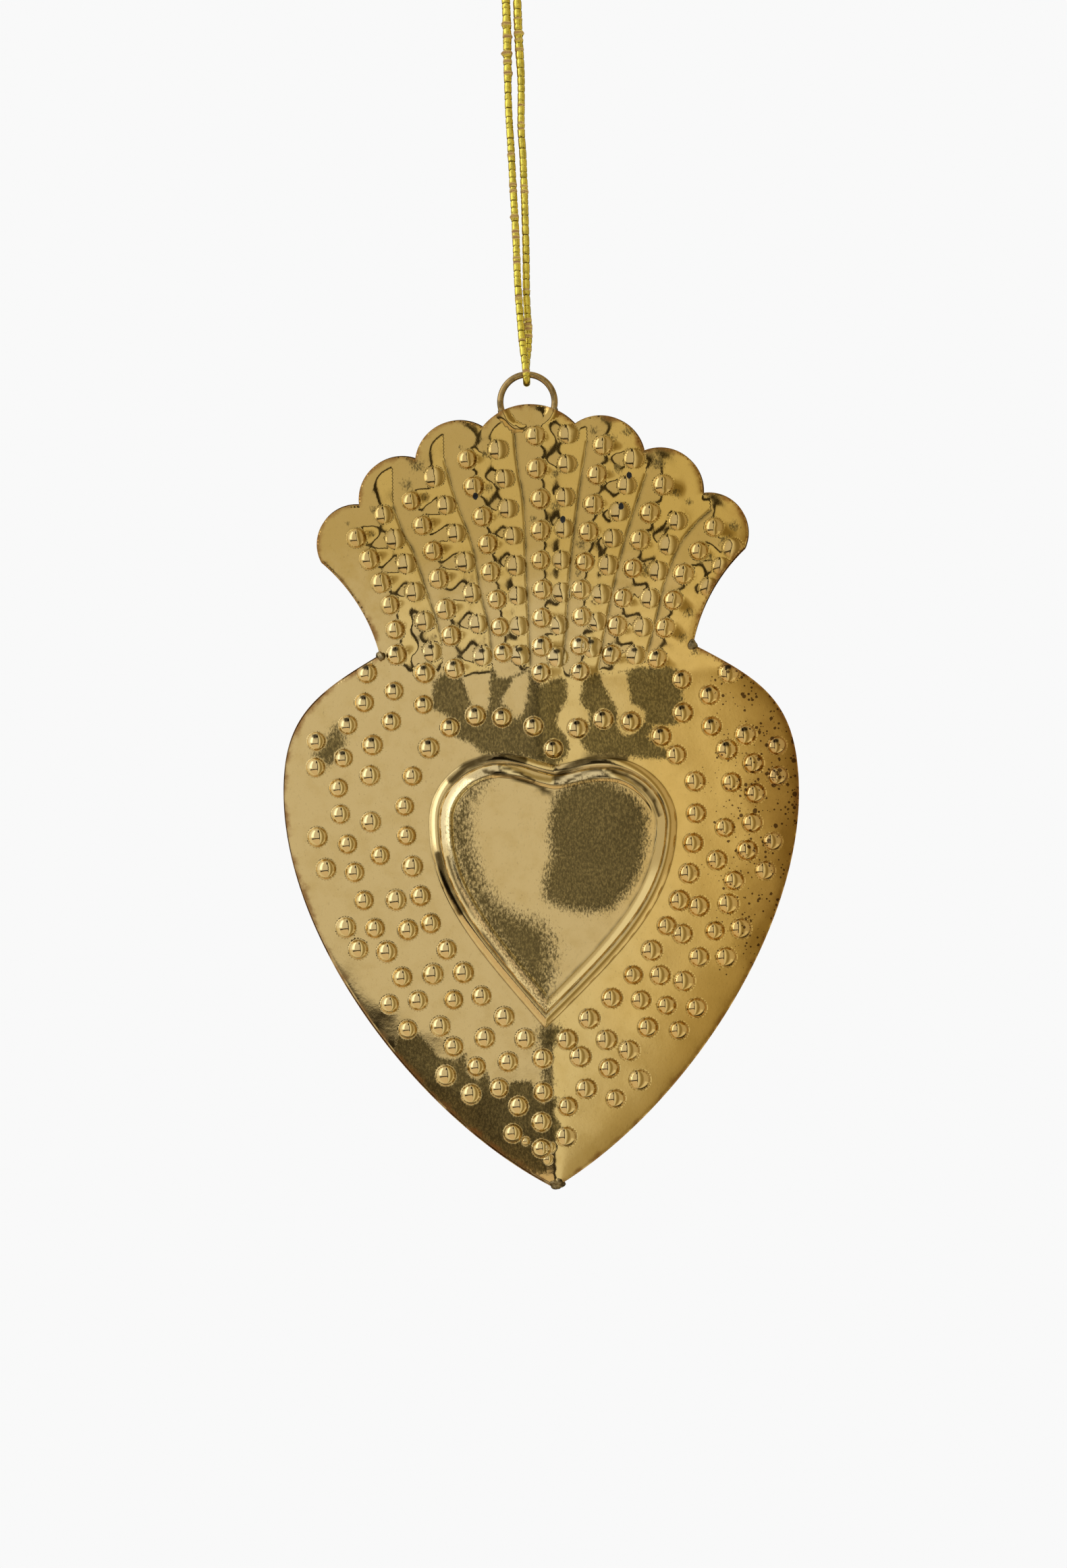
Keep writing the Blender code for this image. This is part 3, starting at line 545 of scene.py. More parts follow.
class Ground:
    """Where points of a sheet lie against its rim, petals, inner heart and domes."""

    def __init__(self, points):
        self.points = points
        self.rim = nearest(points, RIM, closed=True)
        self.edges = [nearest(points, line) for line in PETAL_EDGES]
        side = np.where(inside(points, BOSS), 1.0, -1.0)
        distance, away = nearest(points, BOSS, closed=True)
        self.boss = (side * distance, side[:, None] * away)
        self.domes = []
        for place, radius in zip(DOME_PLACES, DOME_RADII):
            gap = points - place
            near = np.nonzero((gap ** 2).sum(axis=1) < (radius + 5 * SKIRT_RUN) ** 2)[0]
            self.domes.append(near)

    def moved(self, shift):
        """The points a small shift away, and how far they are from the rim and from the edges of their petal."""
        shift = np.array(shift)
        gaps = np.sort(np.stack([np.abs(far + away @ shift) for far, away in self.edges]), axis=0)[:2]
        return self.points + shift, np.abs(self.rim[0] + self.rim[1] @ shift), gaps

    def near_domes(self):
        """Each dome's place and radius, the points near it and how far they are from its middle."""
        for place, radius, near in zip(DOME_PLACES, DOME_RADII, self.domes):
            yield place, radius, near, np.linalg.norm(self.points[near] - place, axis=1)

    def height(self, sizes, seed, shift=(0.0, 0.0)):
        """How far the bright side stands from the plane between the sheets, a small shift away, in millimetres."""
        points, rim, gaps = self.moved(shift)
        height = self.sweep(sizes, shift)
        height -= GROOVE_DEPTH * np.exp(-(gaps[0] / GROOVE_RUN) ** 2) * ease((rim - 0.6) / 2.0) * in_crown(points)
        ring = np.abs(np.linalg.norm(points - RING_CENTRE, axis=1) - RING_RADIUS / MM)
        bed = (WIRE / MM / 2 + BED_ROOM) * np.clip(1 - (ring / BED_RUN) ** 2, 0, 1) ** 2
        height = np.maximum(height, bed) + SHEET - EDGE_ROUND * (1 - ease(rim / EDGE_ROUND_RUN))
        depth = self.boss[0] + self.boss[1] @ shift
        height += boss_profile(depth) + PLATEAU_SWELL * ease((depth - LEDGE_WIDTH - BEVEL_WIDTH) / PLATEAU_SWELL_RUN)
        height += sizes.hammering / MM * waves(points, seed, HAMMERING_LENGTH) * ease(rim / 3.0)
        return np.minimum(height + self.dome_height(points, sizes), SHEET_REACH)

    def sweep(self, sizes, shift):
        """Height of the broad forms alone: the rise from the rim, the roof and the petals."""
        points, rim, gaps = self.moved(shift)
        roof = ROOF_REACH - np.logaddexp(0.0, ROOF_REACH - rim)
        height = SEAM_GAP / 2 + EDGE_RISE * (1 - np.exp(-rim / EDGE_RUN)) + roof_slope(points[:, 0]) * roof
        width = gaps.sum(axis=0)
        middle = 4 * gaps[0] * gaps[1] / np.maximum(width, 0.01) ** 2
        petal = np.minimum(sizes.petal_depth / MM, PETAL_SLOPE * width)
        return height - petal * (1 - middle) * ease(rim / 5.0) * in_crown(points)

    def flank(self):
        """Distance right of the middle of the petal that each point is on."""
        x, z = self.points[:, 0], self.points[:, 1]
        petal = sum((x > np.interp(z, line[::-1, 1], line[::-1, 0])).astype(int) for line in CREASES)
        gaps = []
        for line in MIDDLES:
            gaps.append((x - np.interp(z, line[:, 1], line[:, 0])) / math.hypot(1.0, lean_of(line)))
        return np.array(gaps)[petal, np.arange(len(x))]

    def dome_height(self, points, sizes):
        """Rise of the domes, of the bell of sheet round each, and the thin groove at its foot."""
        height = np.zeros(len(points))
        skirt = sizes.skirt_rise / MM
        share = sizes.dome_rise / MM / DOME_RISE
        for place, radius, rise, part, near in zip(DOME_PLACES, DOME_RADII, DOME_RISES, DOME_SKIRTS, self.domes):
            reach = np.linalg.norm(points[near] - place, axis=1)
            ball = (radius ** 2 + rise ** 2) / (2 * rise)
            cap = np.sqrt(np.maximum(ball ** 2 - np.minimum(reach, radius) ** 2, 0)) - (ball - rise)
            bell = part * skirt * np.exp(-np.maximum(reach - radius, 0) / SKIRT_RUN)
            foot = FOOT_DEPTH * np.exp(-((reach - radius) / FOOT_RUN) ** 2)
            height[near] += share * cap + bell - foot
        return height

    def in_petals(self):
        """1 in the crown, falling to 0 below its foot, and the same falling to 0 at the rim too."""
        fan = in_crown(self.points)
        return fan, fan * ease((self.rim[0] - 0.6) / 1.5)

    def led(self, slope, sweep):
        """The slope to the right with fine handwork: even flanks, crisp turns on the petals, a soft ridge below."""
        x = self.points[:, 0]
        fan, inner = self.in_petals()
        across = self.flank()
        flank = np.sign(across) * np.where(across < 0, *FLANK_SLOPES) * ease((np.abs(across) - 0.6) / 1.4)
        even = slope + inner * (self.fingers() - TURN_SLOPE - flank - sweep)
        crisp = TURN_STEP * np.tanh((even + TURN_SLOPE) / TURN_WIDTH) * inner
        roof = roof_slope(x) * self.rim[1][:, 0]
        roof = roof / (1 + np.exp(np.clip(self.rim[0] - ROOF_REACH, -30, 30)))
        field = (1 - fan) * ease(1 - self.boss[0] / 0.3)
        share = ease((x - RIDGE_X) / 5.0)
        least, near, more = FIELD_LEANS
        beside = near + more * ease(-self.boss[0] / 6.0)
        lean = share * np.minimum(0.0, -beside - roof) + (1 - share) * np.maximum(0.0, least - roof)
        plateau = 0.02 * ease((self.boss[0] - LEDGE_WIDTH - BEVEL_WIDTH) / 2.0)
        return even + crisp + lean * field + plateau

    def fingers(self):
        """Slope of the low folds that run from the domes of each column towards the other column of the petal."""
        slope = np.zeros(len(self.points))
        first = 0
        for i, column in enumerate(PETAL_COLUMNS):
            run = lean_of(MIDDLES[i // 2])
            towards = 1.0 if i % 2 == 0 else -1.0
            for place, near in zip(DOME_PLACES[first:first + column[3]], self.domes[first:]):
                gap = self.points[near] - place
                across = towards * (gap[:, 0] - run * gap[:, 1]) / math.hypot(1.0, run)
                along = (gap[:, 1] + run * gap[:, 0]) / math.hypot(1.0, run)
                fold = ease((across + 0.2) / 0.6) * ease((FINGER_REACH - across) / 1.5)
                if i % 2 == 0:
                    fold *= 1 + FINGER_ROOT * np.exp(-np.maximum(across - DOME_RADIUS, 0) / 0.9)
                slope[near] -= towards * FINGER_SLOPE * fold * np.exp(-(along / FINGER_WIDTH) ** 2)
            first += column[3]
        return slope

    def led_down(self, slope, sweep, bell):
        """The slope upwards with the petals' fine handwork: level petals, and bells soft above and below."""
        clear = np.ones(len(self.points))
        for _, radius, near, reach in self.near_domes():
            clear[near] *= reach > radius
        return slope - self.in_petals()[1] * (sweep + SOFT_BELL * clear * bell)

    def foot_shade_and_grime(self):
        """Painted shade, with some grime: 1 at the foot of a dome or in a crease or groove, falling to 0 beside it."""
        line = np.zeros(len(self.points))
        for _, radius, near, reach in self.near_domes():
            line[near] = np.maximum(line[near], FOOT_SHADE_STRENGTH * np.exp(-((reach - radius) / FOOT_SHADE_WIDTH) ** 2))
        for distance, _ in self.edges[1:-1]:
            line = np.maximum(line, np.exp(-(distance / GROOVE_RUN) ** 2))
        for depth, width, share in BOSS_SHADE_LINES:
            line = np.maximum(line, share * np.exp(-((self.boss[0] - depth) / width) ** 2))
        return line

    def blobs(self):
        """1 in the black blob of painted reflection high on each dome just under the crown."""
        blob = np.zeros(len(self.points))
        for place, radius, near in zip(DOME_PLACES, DOME_RADII, self.domes):
            if REFLECTION_BLOB_BAND[0] < place[1] < REFLECTION_BLOB_BAND[1]:
                x, z = ((self.points[near] - place) / radius - (-0.10, 0.52)).T
                blob[near] = np.maximum(blob[near], ease((1.25 - np.hypot(x / 0.31, z / 0.22)) / 0.4))
        return blob

    def shine(self):
        """1 where the brass is painted brighter, as rubbed wear and as painted highlight: on the frame of the inner
        heart and on the dome caps, most on those of the lower crown just above it.
        """
        depth = self.boss[0]
        frame_width = LEDGE_WIDTH + BEVEL_WIDTH
        band = ease(depth / 0.4) * ease((frame_width + 0.1 - depth) / 0.2) * np.where(depth < LEDGE_WIDTH, 0.25, 1.0)
        cap = np.zeros(len(self.points))
        for place, radius, near, reach in self.near_domes():
            # The caps carry painted highlight as well as wear, most in the lower crown
            worn = 0.3 + 0.35 * math.exp(-((place[1] + 46.0) / 6.0) ** 2 - (place[0] / 15.0) ** 4)
            cap[near] = np.maximum(cap[near], worn * ease((radius - reach) / 0.6))
        return np.maximum(band, cap)


def parallels(line, offsets, closed):
    """Lines beside a line at these distances, without the places where another part of the line is nearer."""
    ahead = np.roll(line, -1, axis=0) - np.roll(line, 1, axis=0)
    if not closed:
        ahead[0] = line[1] - line[0]
        ahead[-1] = line[-1] - line[-2]
    normals = np.stack([-ahead[:, 1], ahead[:, 0]], axis=1) / np.linalg.norm(ahead, axis=1)[:, None]
    rows = []
    for offset in offsets:
        moved = line + normals * offset
        rows.append(moved[distance_to(moved, line, closed) > 0.97 * abs(offset)])
    return rows


def bright_plan():
    """Flat plan of the bright face: points, triangles, and the point at each place of the rim."""
    ridge = LEDGE_WIDTH + BEVEL_WIDTH
    steps = (0.12, 0.3, 0.55, 0.85, 1.15, LEDGE_WIDTH - 0.17, LEDGE_WIDTH - 0.06, LEDGE_WIDTH + 0.06,
             LEDGE_WIDTH + 0.2, 2.0, 2.4, 2.8, ridge - 0.2, ridge - 0.08, ridge + 0.05, ridge + 0.2,
             ridge + 0.45, ridge + 0.8, ridge + 1.2)
    rings = parallels(BOSS, steps + (-0.12, -0.3), True)
    lines = [BOSS] + CREASES
    points = [RIM] + lines
    edges = [(i, (i + 1) % len(RIM)) for i in range(len(RIM))]
    first = len(RIM)
    for line in lines:
        edges += [(first + i, first + i + 1) for i in range(len(line) - 1)]
        first += len(line)
    edges.append((len(RIM), len(RIM) + len(BOSS) - 1))
    free = [place + radius * share * spokes(count)
            for place, radius in zip(DOME_PLACES, DOME_RADII) for share, count in DOME_RINGS]
    free += [place + radius * share * spokes(count) for place, radius in zip(DOME_PLACES, DOME_RADII)
             if REFLECTION_BLOB_BAND[0] < place[1] < REFLECTION_BLOB_BAND[1] for share, count in ((0.45, 18), (0.52, 24), (0.7, 30))]
    free += [DOME_PLACES] + rings
    for line in CREASES:
        free += parallels(line, (-1.0, -0.55, -0.25, 0.25, 0.55, 1.0), False)
    free += parallels(RIM, (-0.3, -0.8), True)
    free = np.vstack(free)
    free = free[inside(free, RIM)]
    free = free[distance_to(free, RIM, closed=True) > 0.2]
    crown = fill(np.vstack(points + [free]), CROWN_LATTICE, -PETAL_FOOT_DROP)
    return triangulate(fill(crown, LATTICE), edges)


def spokes(count):
    """Evenly turned unit vectors."""
    turns = np.arange(count) * math.tau / count
    return np.stack([np.cos(turns), np.sin(turns)], axis=1)


def fill(points, step, foot=-math.inf):
    """Adds an even lattice of points where there are none yet, above a foot line."""
    tree = KDTree(len(points))
    for i, (x, z) in enumerate(points):
        tree.insert((x, z, 0.0), i)
    tree.balance()
    low = RIM.min(axis=0)
    high = RIM.max(axis=0)
    row_step = step * math.sqrt(3) / 2
    rows = np.arange(int((high[1] - low[1]) / row_step) + 1)
    columns = np.arange(int((high[0] - low[0]) / step) + 1)
    grid = np.array([(low[0] + step * (column + 0.5 * (row % 2)), low[1] + row_step * row)
                     for row in rows for column in columns])
    grid = grid[inside(grid, RIM) & (grid[:, 1] > foot)]
    clear = [place for place in grid if tree.find((*place, 0.0))[2] > 0.55 * step]
    return np.vstack([points, clear])


def triangulate(points, edges):
    """Triangles inside the rim. The points may be merged, so the rim's own are named again."""
    loop = list(range(len(RIM)))
    made = delaunay_2d_cdt([Vector(point) for point in points], edges, [loop], 1, 1e-5)
    plan = np.array([list(point) for point in made[0]])
    rim = {}
    for vertex, sources in enumerate(made[3]):
        for source in sources:
            if source < len(RIM):
                rim[source] = vertex
    return plan, np.array(made[2]), [rim[i] for i in loop]


def sheet_mesh(name, sizes, seed):
    """A sheet: its bright face, a plainer hollow face and the cut edge between them."""
    plan, triangles, rim = bright_plan()
    ground = Ground(plan)
    height = ground.height(sizes, seed)
    slopes = slopes_of(lambda shift: ground.height(sizes, seed, shift))
    sweeps = slopes_of(lambda shift: ground.sweep(sizes, shift))
    bell = slopes_of(lambda shift: ground.dome_height(plan + shift, sizes))[1]
    to_right = ground.led(slopes[0], sweeps[0])
    upwards = ground.led_down(slopes[1], sweeps[1], bell)
    normals = np.stack([-to_right, -np.ones(len(plan)), -upwards], axis=1)
    normals /= np.linalg.norm(normals, axis=1)[:, None]

    hollow_plan, hollow_triangles, hollow_rim = triangulate(
        fill(np.vstack([RIM, BOSS] + parallels(BOSS, (1.5, 3.3), True)), HOLLOW_LATTICE),
        [(i, (i + 1) % len(RIM)) for i in range(len(RIM))])
    hollow_height = Ground(hollow_plan).height(sizes, seed) - SHEET - 0.05
    lowered = np.zeros(len(hollow_plan))
    for place, radius in zip(DOME_PLACES, DOME_RADII):
        lowered = np.maximum(lowered, np.linalg.norm(hollow_plan - place, axis=1) < radius + 0.3)
    hollow_height = np.maximum(SEAM_GAP / 2 * 0.8, hollow_height - lowered * 1.2)

    bright = np.stack([plan[:, 0], -height, plan[:, 1]], axis=1)
    hollow = np.stack([hollow_plan[:, 0], -hollow_height, hollow_plan[:, 1]], axis=1)
    shift = len(bright)
    wall = []
    for i in range(len(RIM)):
        k = (i + 1) % len(RIM)
        wall.append((rim[k], rim[i], hollow_rim[i] + shift, hollow_rim[k] + shift))
    triangles = facing(bright, triangles, -1)
    hollow_triangles = facing(hollow, hollow_triangles, 1)

    mesh = bpy.data.meshes.new(name)
    verts = np.vstack([bright, hollow]) * MM + np.array(WIRE_TOP)
    faces = triangles.tolist() + (hollow_triangles + shift).tolist() + wall
    mesh.from_pydata(verts.tolist(), [], faces)
    face_up_wall(mesh, len(triangles) + len(hollow_triangles))
    mesh.shade_smooth()
    mesh.set_sharp_from_angle(angle=math.radians(60))
    corner_normals = np.zeros((len(mesh.loops), 3))
    corner_normals[:triangles.size] = normals[triangles.reshape(-1)]
    mesh.normals_split_custom_set(corner_normals.tolist())
    add_marks(mesh, ground, len(verts))
    return mesh


def slopes_of(height):
    """Slopes to the right and upwards of a height that is worked out a small shift away."""
    return [(height(nudge) - height(-nudge)) / (2 * NUDGE) for nudge in NUDGE * np.eye(2)]


def facing(points, triangles, side):
    """The triangles, turned over if they don't face this side, -1 for the front."""
    a, b, c = (points[triangles[:, i]] for i in range(3))
    return triangles if np.cross(b - a, c - a)[:, 1].sum() * side > 0 else triangles[:, ::-1]


def face_up_wall(mesh, first):
    """Turns the wall's faces outwards if they point in."""
    centre = sum((v.co for v in mesh.vertices), Vector()) / len(mesh.vertices)
    wall = mesh.polygons[first:]
    if sum(face.normal.dot(face.center - centre) * face.area for face in wall) < 0:
        for face in wall:
            face.flip()


def add_marks(mesh, ground, count):
    """Stores what the finish needs at each point, such as the painted shade at the feet of domes, the painted dark
    reflections and highlights, and distance to the rim.
    """
    marks = {
        # The marks carry painted shade at dome feet and in creases, painted dark reflections, and wear with painted
        # highlight
        "foot": ground.foot_shade_and_grime(),
        "blob": ground.blobs(),
        "patch": patches(ground.points),
        "shine": ground.shine(),
        "streak": streaks(ground.points),
        "rim": ground.rim[0],
    }
    for name, values in marks.items():
        full = np.zeros(count, np.float32)
        full[:len(values)] = values
        mesh.attributes.new(name, "FLOAT", "POINT").data.foreach_set("value", full)


# Olive patches of painted dark reflection: outlines in pixels of the photograph, and how soft each edge is in
# millimetres
REFLECTION_PATCHES = (
    (((641, 1012), (656, 998), (676, 1005), (690, 1006), (726, 990), (732, 992), (738, 1004), (749, 1006), (760, 1001),
      (785, 992), (788, 1004), (799, 1018), (810, 1012), (830, 1004), (841, 1009), (861, 1012), (866, 1001), (889, 998),
      (897, 1001), (925, 995), (950, 987), (964, 990), (990, 987), (1006, 995), (1012, 1037), (1012, 1054),
      (1006, 1074), (981, 1076), (970, 1074), (959, 1093), (987, 1110), (992, 1124), (967, 1125), (928, 1121),
      (883, 1118), (872, 1116), (861, 1102), (850, 1104), (838, 1121), (822, 1138), (805, 1130), (777, 1121),
      (752, 1118), (726, 1118), (712, 1116), (701, 1104), (670, 1090), (676, 1074), (656, 1057), (642, 1051),
      (641, 1032)), 1.1),
    (((822, 1180), (836, 1166), (862, 1157), (892, 1155), (920, 1166), (942, 1184), (957, 1210), (958, 1248),
      (948, 1290), (932, 1318), (906, 1346), (870, 1352), (834, 1346), (806, 1332), (806, 1300), (817, 1270),
      (813, 1240), (815, 1205)), 2.8),
    (((722, 1156), (700, 1178), (694, 1215), (698, 1256), (712, 1300), (736, 1336), (768, 1356), (800, 1366),
      (816, 1388), (820, 1420), (814, 1460), (808, 1494), (788, 1462), (758, 1424), (722, 1374), (698, 1330),
      (678, 1280), (668, 1236), (674, 1206), (692, 1172)), 5.0),
    (((588, 1534), (622, 1532), (640, 1552), (650, 1568), (676, 1570), (690, 1560), (692, 1590), (706, 1602),
      (722, 1588), (728, 1612), (744, 1628), (758, 1602), (788, 1602), (794, 1626), (806, 1634), (828, 1624),
      (820, 1650), (832, 1668), (824, 1690), (812, 1704), (808, 1716), (812, 1738), (798, 1741), (758, 1726),
      (718, 1698), (660, 1654), (618, 1612), (598, 1588), (584, 1560)), 0.9),
    (((796, 1522), (830, 1520), (838, 1534), (818, 1552), (812, 1580), (820, 1606), (806, 1604), (802, 1560)), 2.2),
    (((464, 1118), (482, 1096), (500, 1074), (514, 1098), (500, 1126), (480, 1138)), 2.0),
)

# Bright tongues that run down from the petals, cut out of the painted dark reflection above the inner heart: pixels
TONGUES = (
    ((683, 998), (728, 987), (726, 1006), (725, 1043), (722, 1054), (698, 1043), (690, 1020)),
    ((760, 1006), (785, 995), (782, 1026), (777, 1051), (766, 1068), (752, 1048), (740, 1040), (752, 1023)),
    ((837, 1001), (864, 1004), (862, 1023), (858, 1040), (873, 1054), (873, 1082), (858, 1096), (864, 1110),
     (875, 1121), (855, 1127), (836, 1135), (841, 1121), (844, 1104), (836, 1088), (824, 1074), (827, 1057),
     (841, 1037), (840, 1020)),
    ((889, 998), (928, 995), (931, 1018), (936, 1043), (956, 1054), (955, 1071), (939, 1088), (922, 1090),
     (914, 1074), (914, 1051), (903, 1032), (892, 1012)),
)
TONGUE_SOFTNESS = 0.9

# Dark streaks of painted reflection on the frame of the inner heart: pixels along each, and half width in millimetres
REFLECTION_STREAKS = (
    (((668, 1156), (690, 1136), (718, 1125), (750, 1122), (776, 1127)), 0.62),
    (((824, 1153), (846, 1136), (872, 1126), (900, 1121), (926, 1123)), 0.60),
    (((718, 1143), (748, 1149), (780, 1158), (802, 1168), (818, 1177)), 0.34),
    (((740, 1136), (768, 1145), (792, 1157)), 0.18),
    (((838, 1160), (862, 1146), (890, 1140)), 0.20),
    (((900, 1141), (928, 1149), (952, 1166), (968, 1186), (976, 1208)), 0.30),
    (((649, 1266), (656, 1296), (667, 1324), (682, 1352)), 0.50),
    (((664, 1270), (674, 1306), (694, 1346), (720, 1388), (752, 1432)), 0.14),
)

# Small spots of painted shade: pixel, and radius in millimetres
SHADE_SPOTS = (
    (603, 718, 1.3), (554, 756, 0.9), (630, 737, 1.0), (552, 792, 0.8), (718, 674, 0.8), (725, 724, 1.0),
    (618, 690, 1.5), (640, 922, 0.9), (515, 776, 0.5), (682, 664, 0.5), (975, 686, 1.5), (1001, 730, 1.2),
    (1021, 744, 0.9), (1076, 802, 1.6), (1051, 826, 1.0), (1020, 908, 1.2), (958, 847, 1.1), (861, 808, 1.1),
    (822, 703, 1.0), (822, 750, 1.1), (914, 695, 1.0), (857, 850, 0.8), (1088, 780, 1.2), (905, 652, 1.3),
    (930, 640, 1.2), (880, 640, 1.0), (848, 872, 0.6), (800, 870, 0.7), (750, 930, 0.8), (700, 925, 0.9),
    (1010, 945, 1.2), (1030, 965, 1.0), (585, 975, 1.2), (497, 1075, 0.8), (462, 1100, 0.7), (502, 1452, 1.0),
    (1130, 1420, 0.9), (822, 1530, 1.0), (812, 1592, 1.0), (745, 760, 1.0), (790, 770, 0.9), (680, 830, 0.9),
)
SHADE_SPOT_STRENGTH = 0.62

# Torn holes, painted black as the shade of the hollow inside: pixels
HOLES = ((704.6, 736.0), (833.9, 770.5), (932.0, 705.0), (920.0, 751.0))
HOLE_RADIUS = 0.42


def depth_inside(points, outline):
    """How far each point lies inside an outline given in pixels, less than 0 outside it."""
    loop = np.array([from_photo(pixel) for pixel in outline])
    return np.where(inside(points, loop), 1.0, -1.0) * distance_to(points, loop, closed=True)


def patches(points):
    """How deep each point lies in the painted dark reflection and shade spots, from 0 outside to 1 inside."""
    dark = np.zeros(len(points))
    for outline, softness in REFLECTION_PATCHES:
        dark = np.maximum(dark, ease(0.5 + depth_inside(points, outline) / softness / 2))
    for outline in TONGUES:
        dark = np.minimum(dark, ease(0.5 - depth_inside(points, outline) / TONGUE_SOFTNESS / 2))
    for column, row, radius in SHADE_SPOTS:
        away = np.linalg.norm(points - np.array(from_photo((column, row))), axis=1)
        dark = np.maximum(dark, SHADE_SPOT_STRENGTH * np.exp(-(away / radius) ** 2))
    for place, radius in zip(DOME_PLACES, DOME_RADII):
        away = np.linalg.norm(points - place, axis=1)
        dark = np.minimum(dark, ease((away - radius + 0.15) / HALO))
    return dark


def streaks(points):
    """1 on the streaks of painted dark reflection on the inner heart's frame, falling to 0 beside them."""
    dark = np.zeros(len(points))
    for marks, width in REFLECTION_STREAKS:
        line = np.array([from_photo(pixel) for pixel in marks])
        dark = np.maximum(dark, ease((1.4 - distance_to(points, line) / width) / 0.8))
    return dark


# Colours that the panel doesn't offer, and how pale and how deep the olive of the painted dark reflection goes
BROWN_EDGE = (0.40, 0.215, 0.05)
# Painted shade with some grime, in creases and grooves and round the feet of domes
CREASE_SHADE_AND_GRIME = (0.09, 0.065, 0.025)
# Painted dark reflection in streaks on the inner heart's frame
STREAK_REFLECTION_BROWN = (0.10, 0.068, 0.024)
# Painted black reflection high on the domes under the crown
BLOB_REFLECTION_BLACK = (0.02, 0.014, 0.008)
SPECK_BROWN = (0.055, 0.02, 0.008)
# Painted shade: black of the hollow seen through the torn holes
HOLE_SHADE_BLACK = (0.004, 0.004, 0.005)
# Painted shade in the step where each turn of foil goes under the next
FOIL_GAP_SHADE = (0.10, 0.065, 0.012)
SOLDER_SHADE = (0.055, 0.038, 0.015)
OLIVE_RANGE = (1.9, 0.75)

# Corrosion spots: how many in a millimetre, their size on the right shoulder and that of lone ones
SPECK_LAYERS = ((0.9, 0.46, -0.02), (1.7, 0.46, 0.12))

# The studio's lamp, and its dimmer end far to the left
LAMP = (2.1, 2.15, 2.25)
LAMP_END = (1.0, 1.0, 1.0)


class Net:
    """A material's shader nodes, with short ways to make the sums and mixes that feed them."""

    def __init__(self, name):
        self.material = bpy.data.materials.new(name)
        self.material.use_nodes = True
        self.nodes = self.material.node_tree.nodes

    def add(self, kind, inputs=(), **settings):
        """Adds a node with these inputs and settings, and gives all its outputs."""
        made = self.nodes.new("ShaderNode" + kind)
        for key, value in settings.items():
            setattr(made, key, value)
        for key, value in inputs:
            self.feed(made.inputs[key], value)
        return made.outputs

    def node(self, kind, output=0, inputs=(), **settings):
        """Adds a node and gives one of its outputs."""
        return self.add(kind, inputs, **settings)[output]

    def feed(self, socket, value):
        """Links an output to an input, or sets the input to a number, a vector or a colour."""
        if isinstance(value, bpy.types.NodeSocket):
            self.material.node_tree.links.new(value, socket)
        else:
            socket.default_value = (*value, 1.0) if socket.type == "RGBA" else value

    def finish(self, **inputs):
        """Sets the Principled shader's inputs, named with underscores."""
        for key, value in inputs.items():
            self.feed(self.nodes["Principled BSDF"].inputs[key.replace("_", " ").title()], value)

    def math(self, operation, first, second=0.0):
        return self.node("Math", inputs=((0, first), (1, second)), operation=operation)

    def plus(self, first, second):
        return self.math("ADD", first, second)

    def times(self, first, second):
        return self.math("MULTIPLY", first, second)

    def wavy(self, value, wave, height):
        """A value that a noise shifts by up to this much."""
        return self.plus(value, self.times(wave, height))

    def ramp(self, value, low, high, to_low=0.0, to_high=1.0):
        """A value moved smoothly from one range to another."""
        ends = (("From Min", low), ("From Max", high), ("To Min", to_low), ("To Max", to_high))
        return self.node("MapRange", "Result", (("Value", value),) + ends, interpolation_type="SMOOTHSTEP", clamp=True)

    def window(self, value, low, high, soft):
        """1 where a value lies between two limits, with soft ends."""
        return self.times(self.ramp(value, low - soft, low + soft),
                          self.ramp(value, high - soft, high + soft, 1.0, 0.0))

    def layered(self, colour, layers):
        """A colour under other colours, each with how much of it shows. Any may be an output."""
        for share, other in layers:
            colour = self.node("Mix", 2, ((0, share), (6, colour), (7, other)), data_type="RGBA")
        return colour

    def noise(self, vector, scale, detail=2.0, roughness=0.5):
        inputs = (("Vector", vector), ("Scale", scale), ("Detail", detail), ("Roughness", roughness))
        return self.node("TexNoise", "Fac", inputs)

    def attribute(self, name):
        return self.node("Attribute", "Fac", attribute_name=name)

    def axes(self, vector):
        """The X, Y and Z of a vector."""
        return self.add("SeparateXYZ", ((0, vector),))

    def millimetres(self):
        """Object coordinates counted in millimetres."""
        place = self.node("TexCoord", "Object")
        return self.node("Mapping", inputs=(("Vector", place), ("Scale", (1 / MM,) * 3)))

    def bump(self, height, strength, metres):
        return self.node("Bump", "Normal", (("Height", height), ("Strength", strength), ("Distance", metres)))


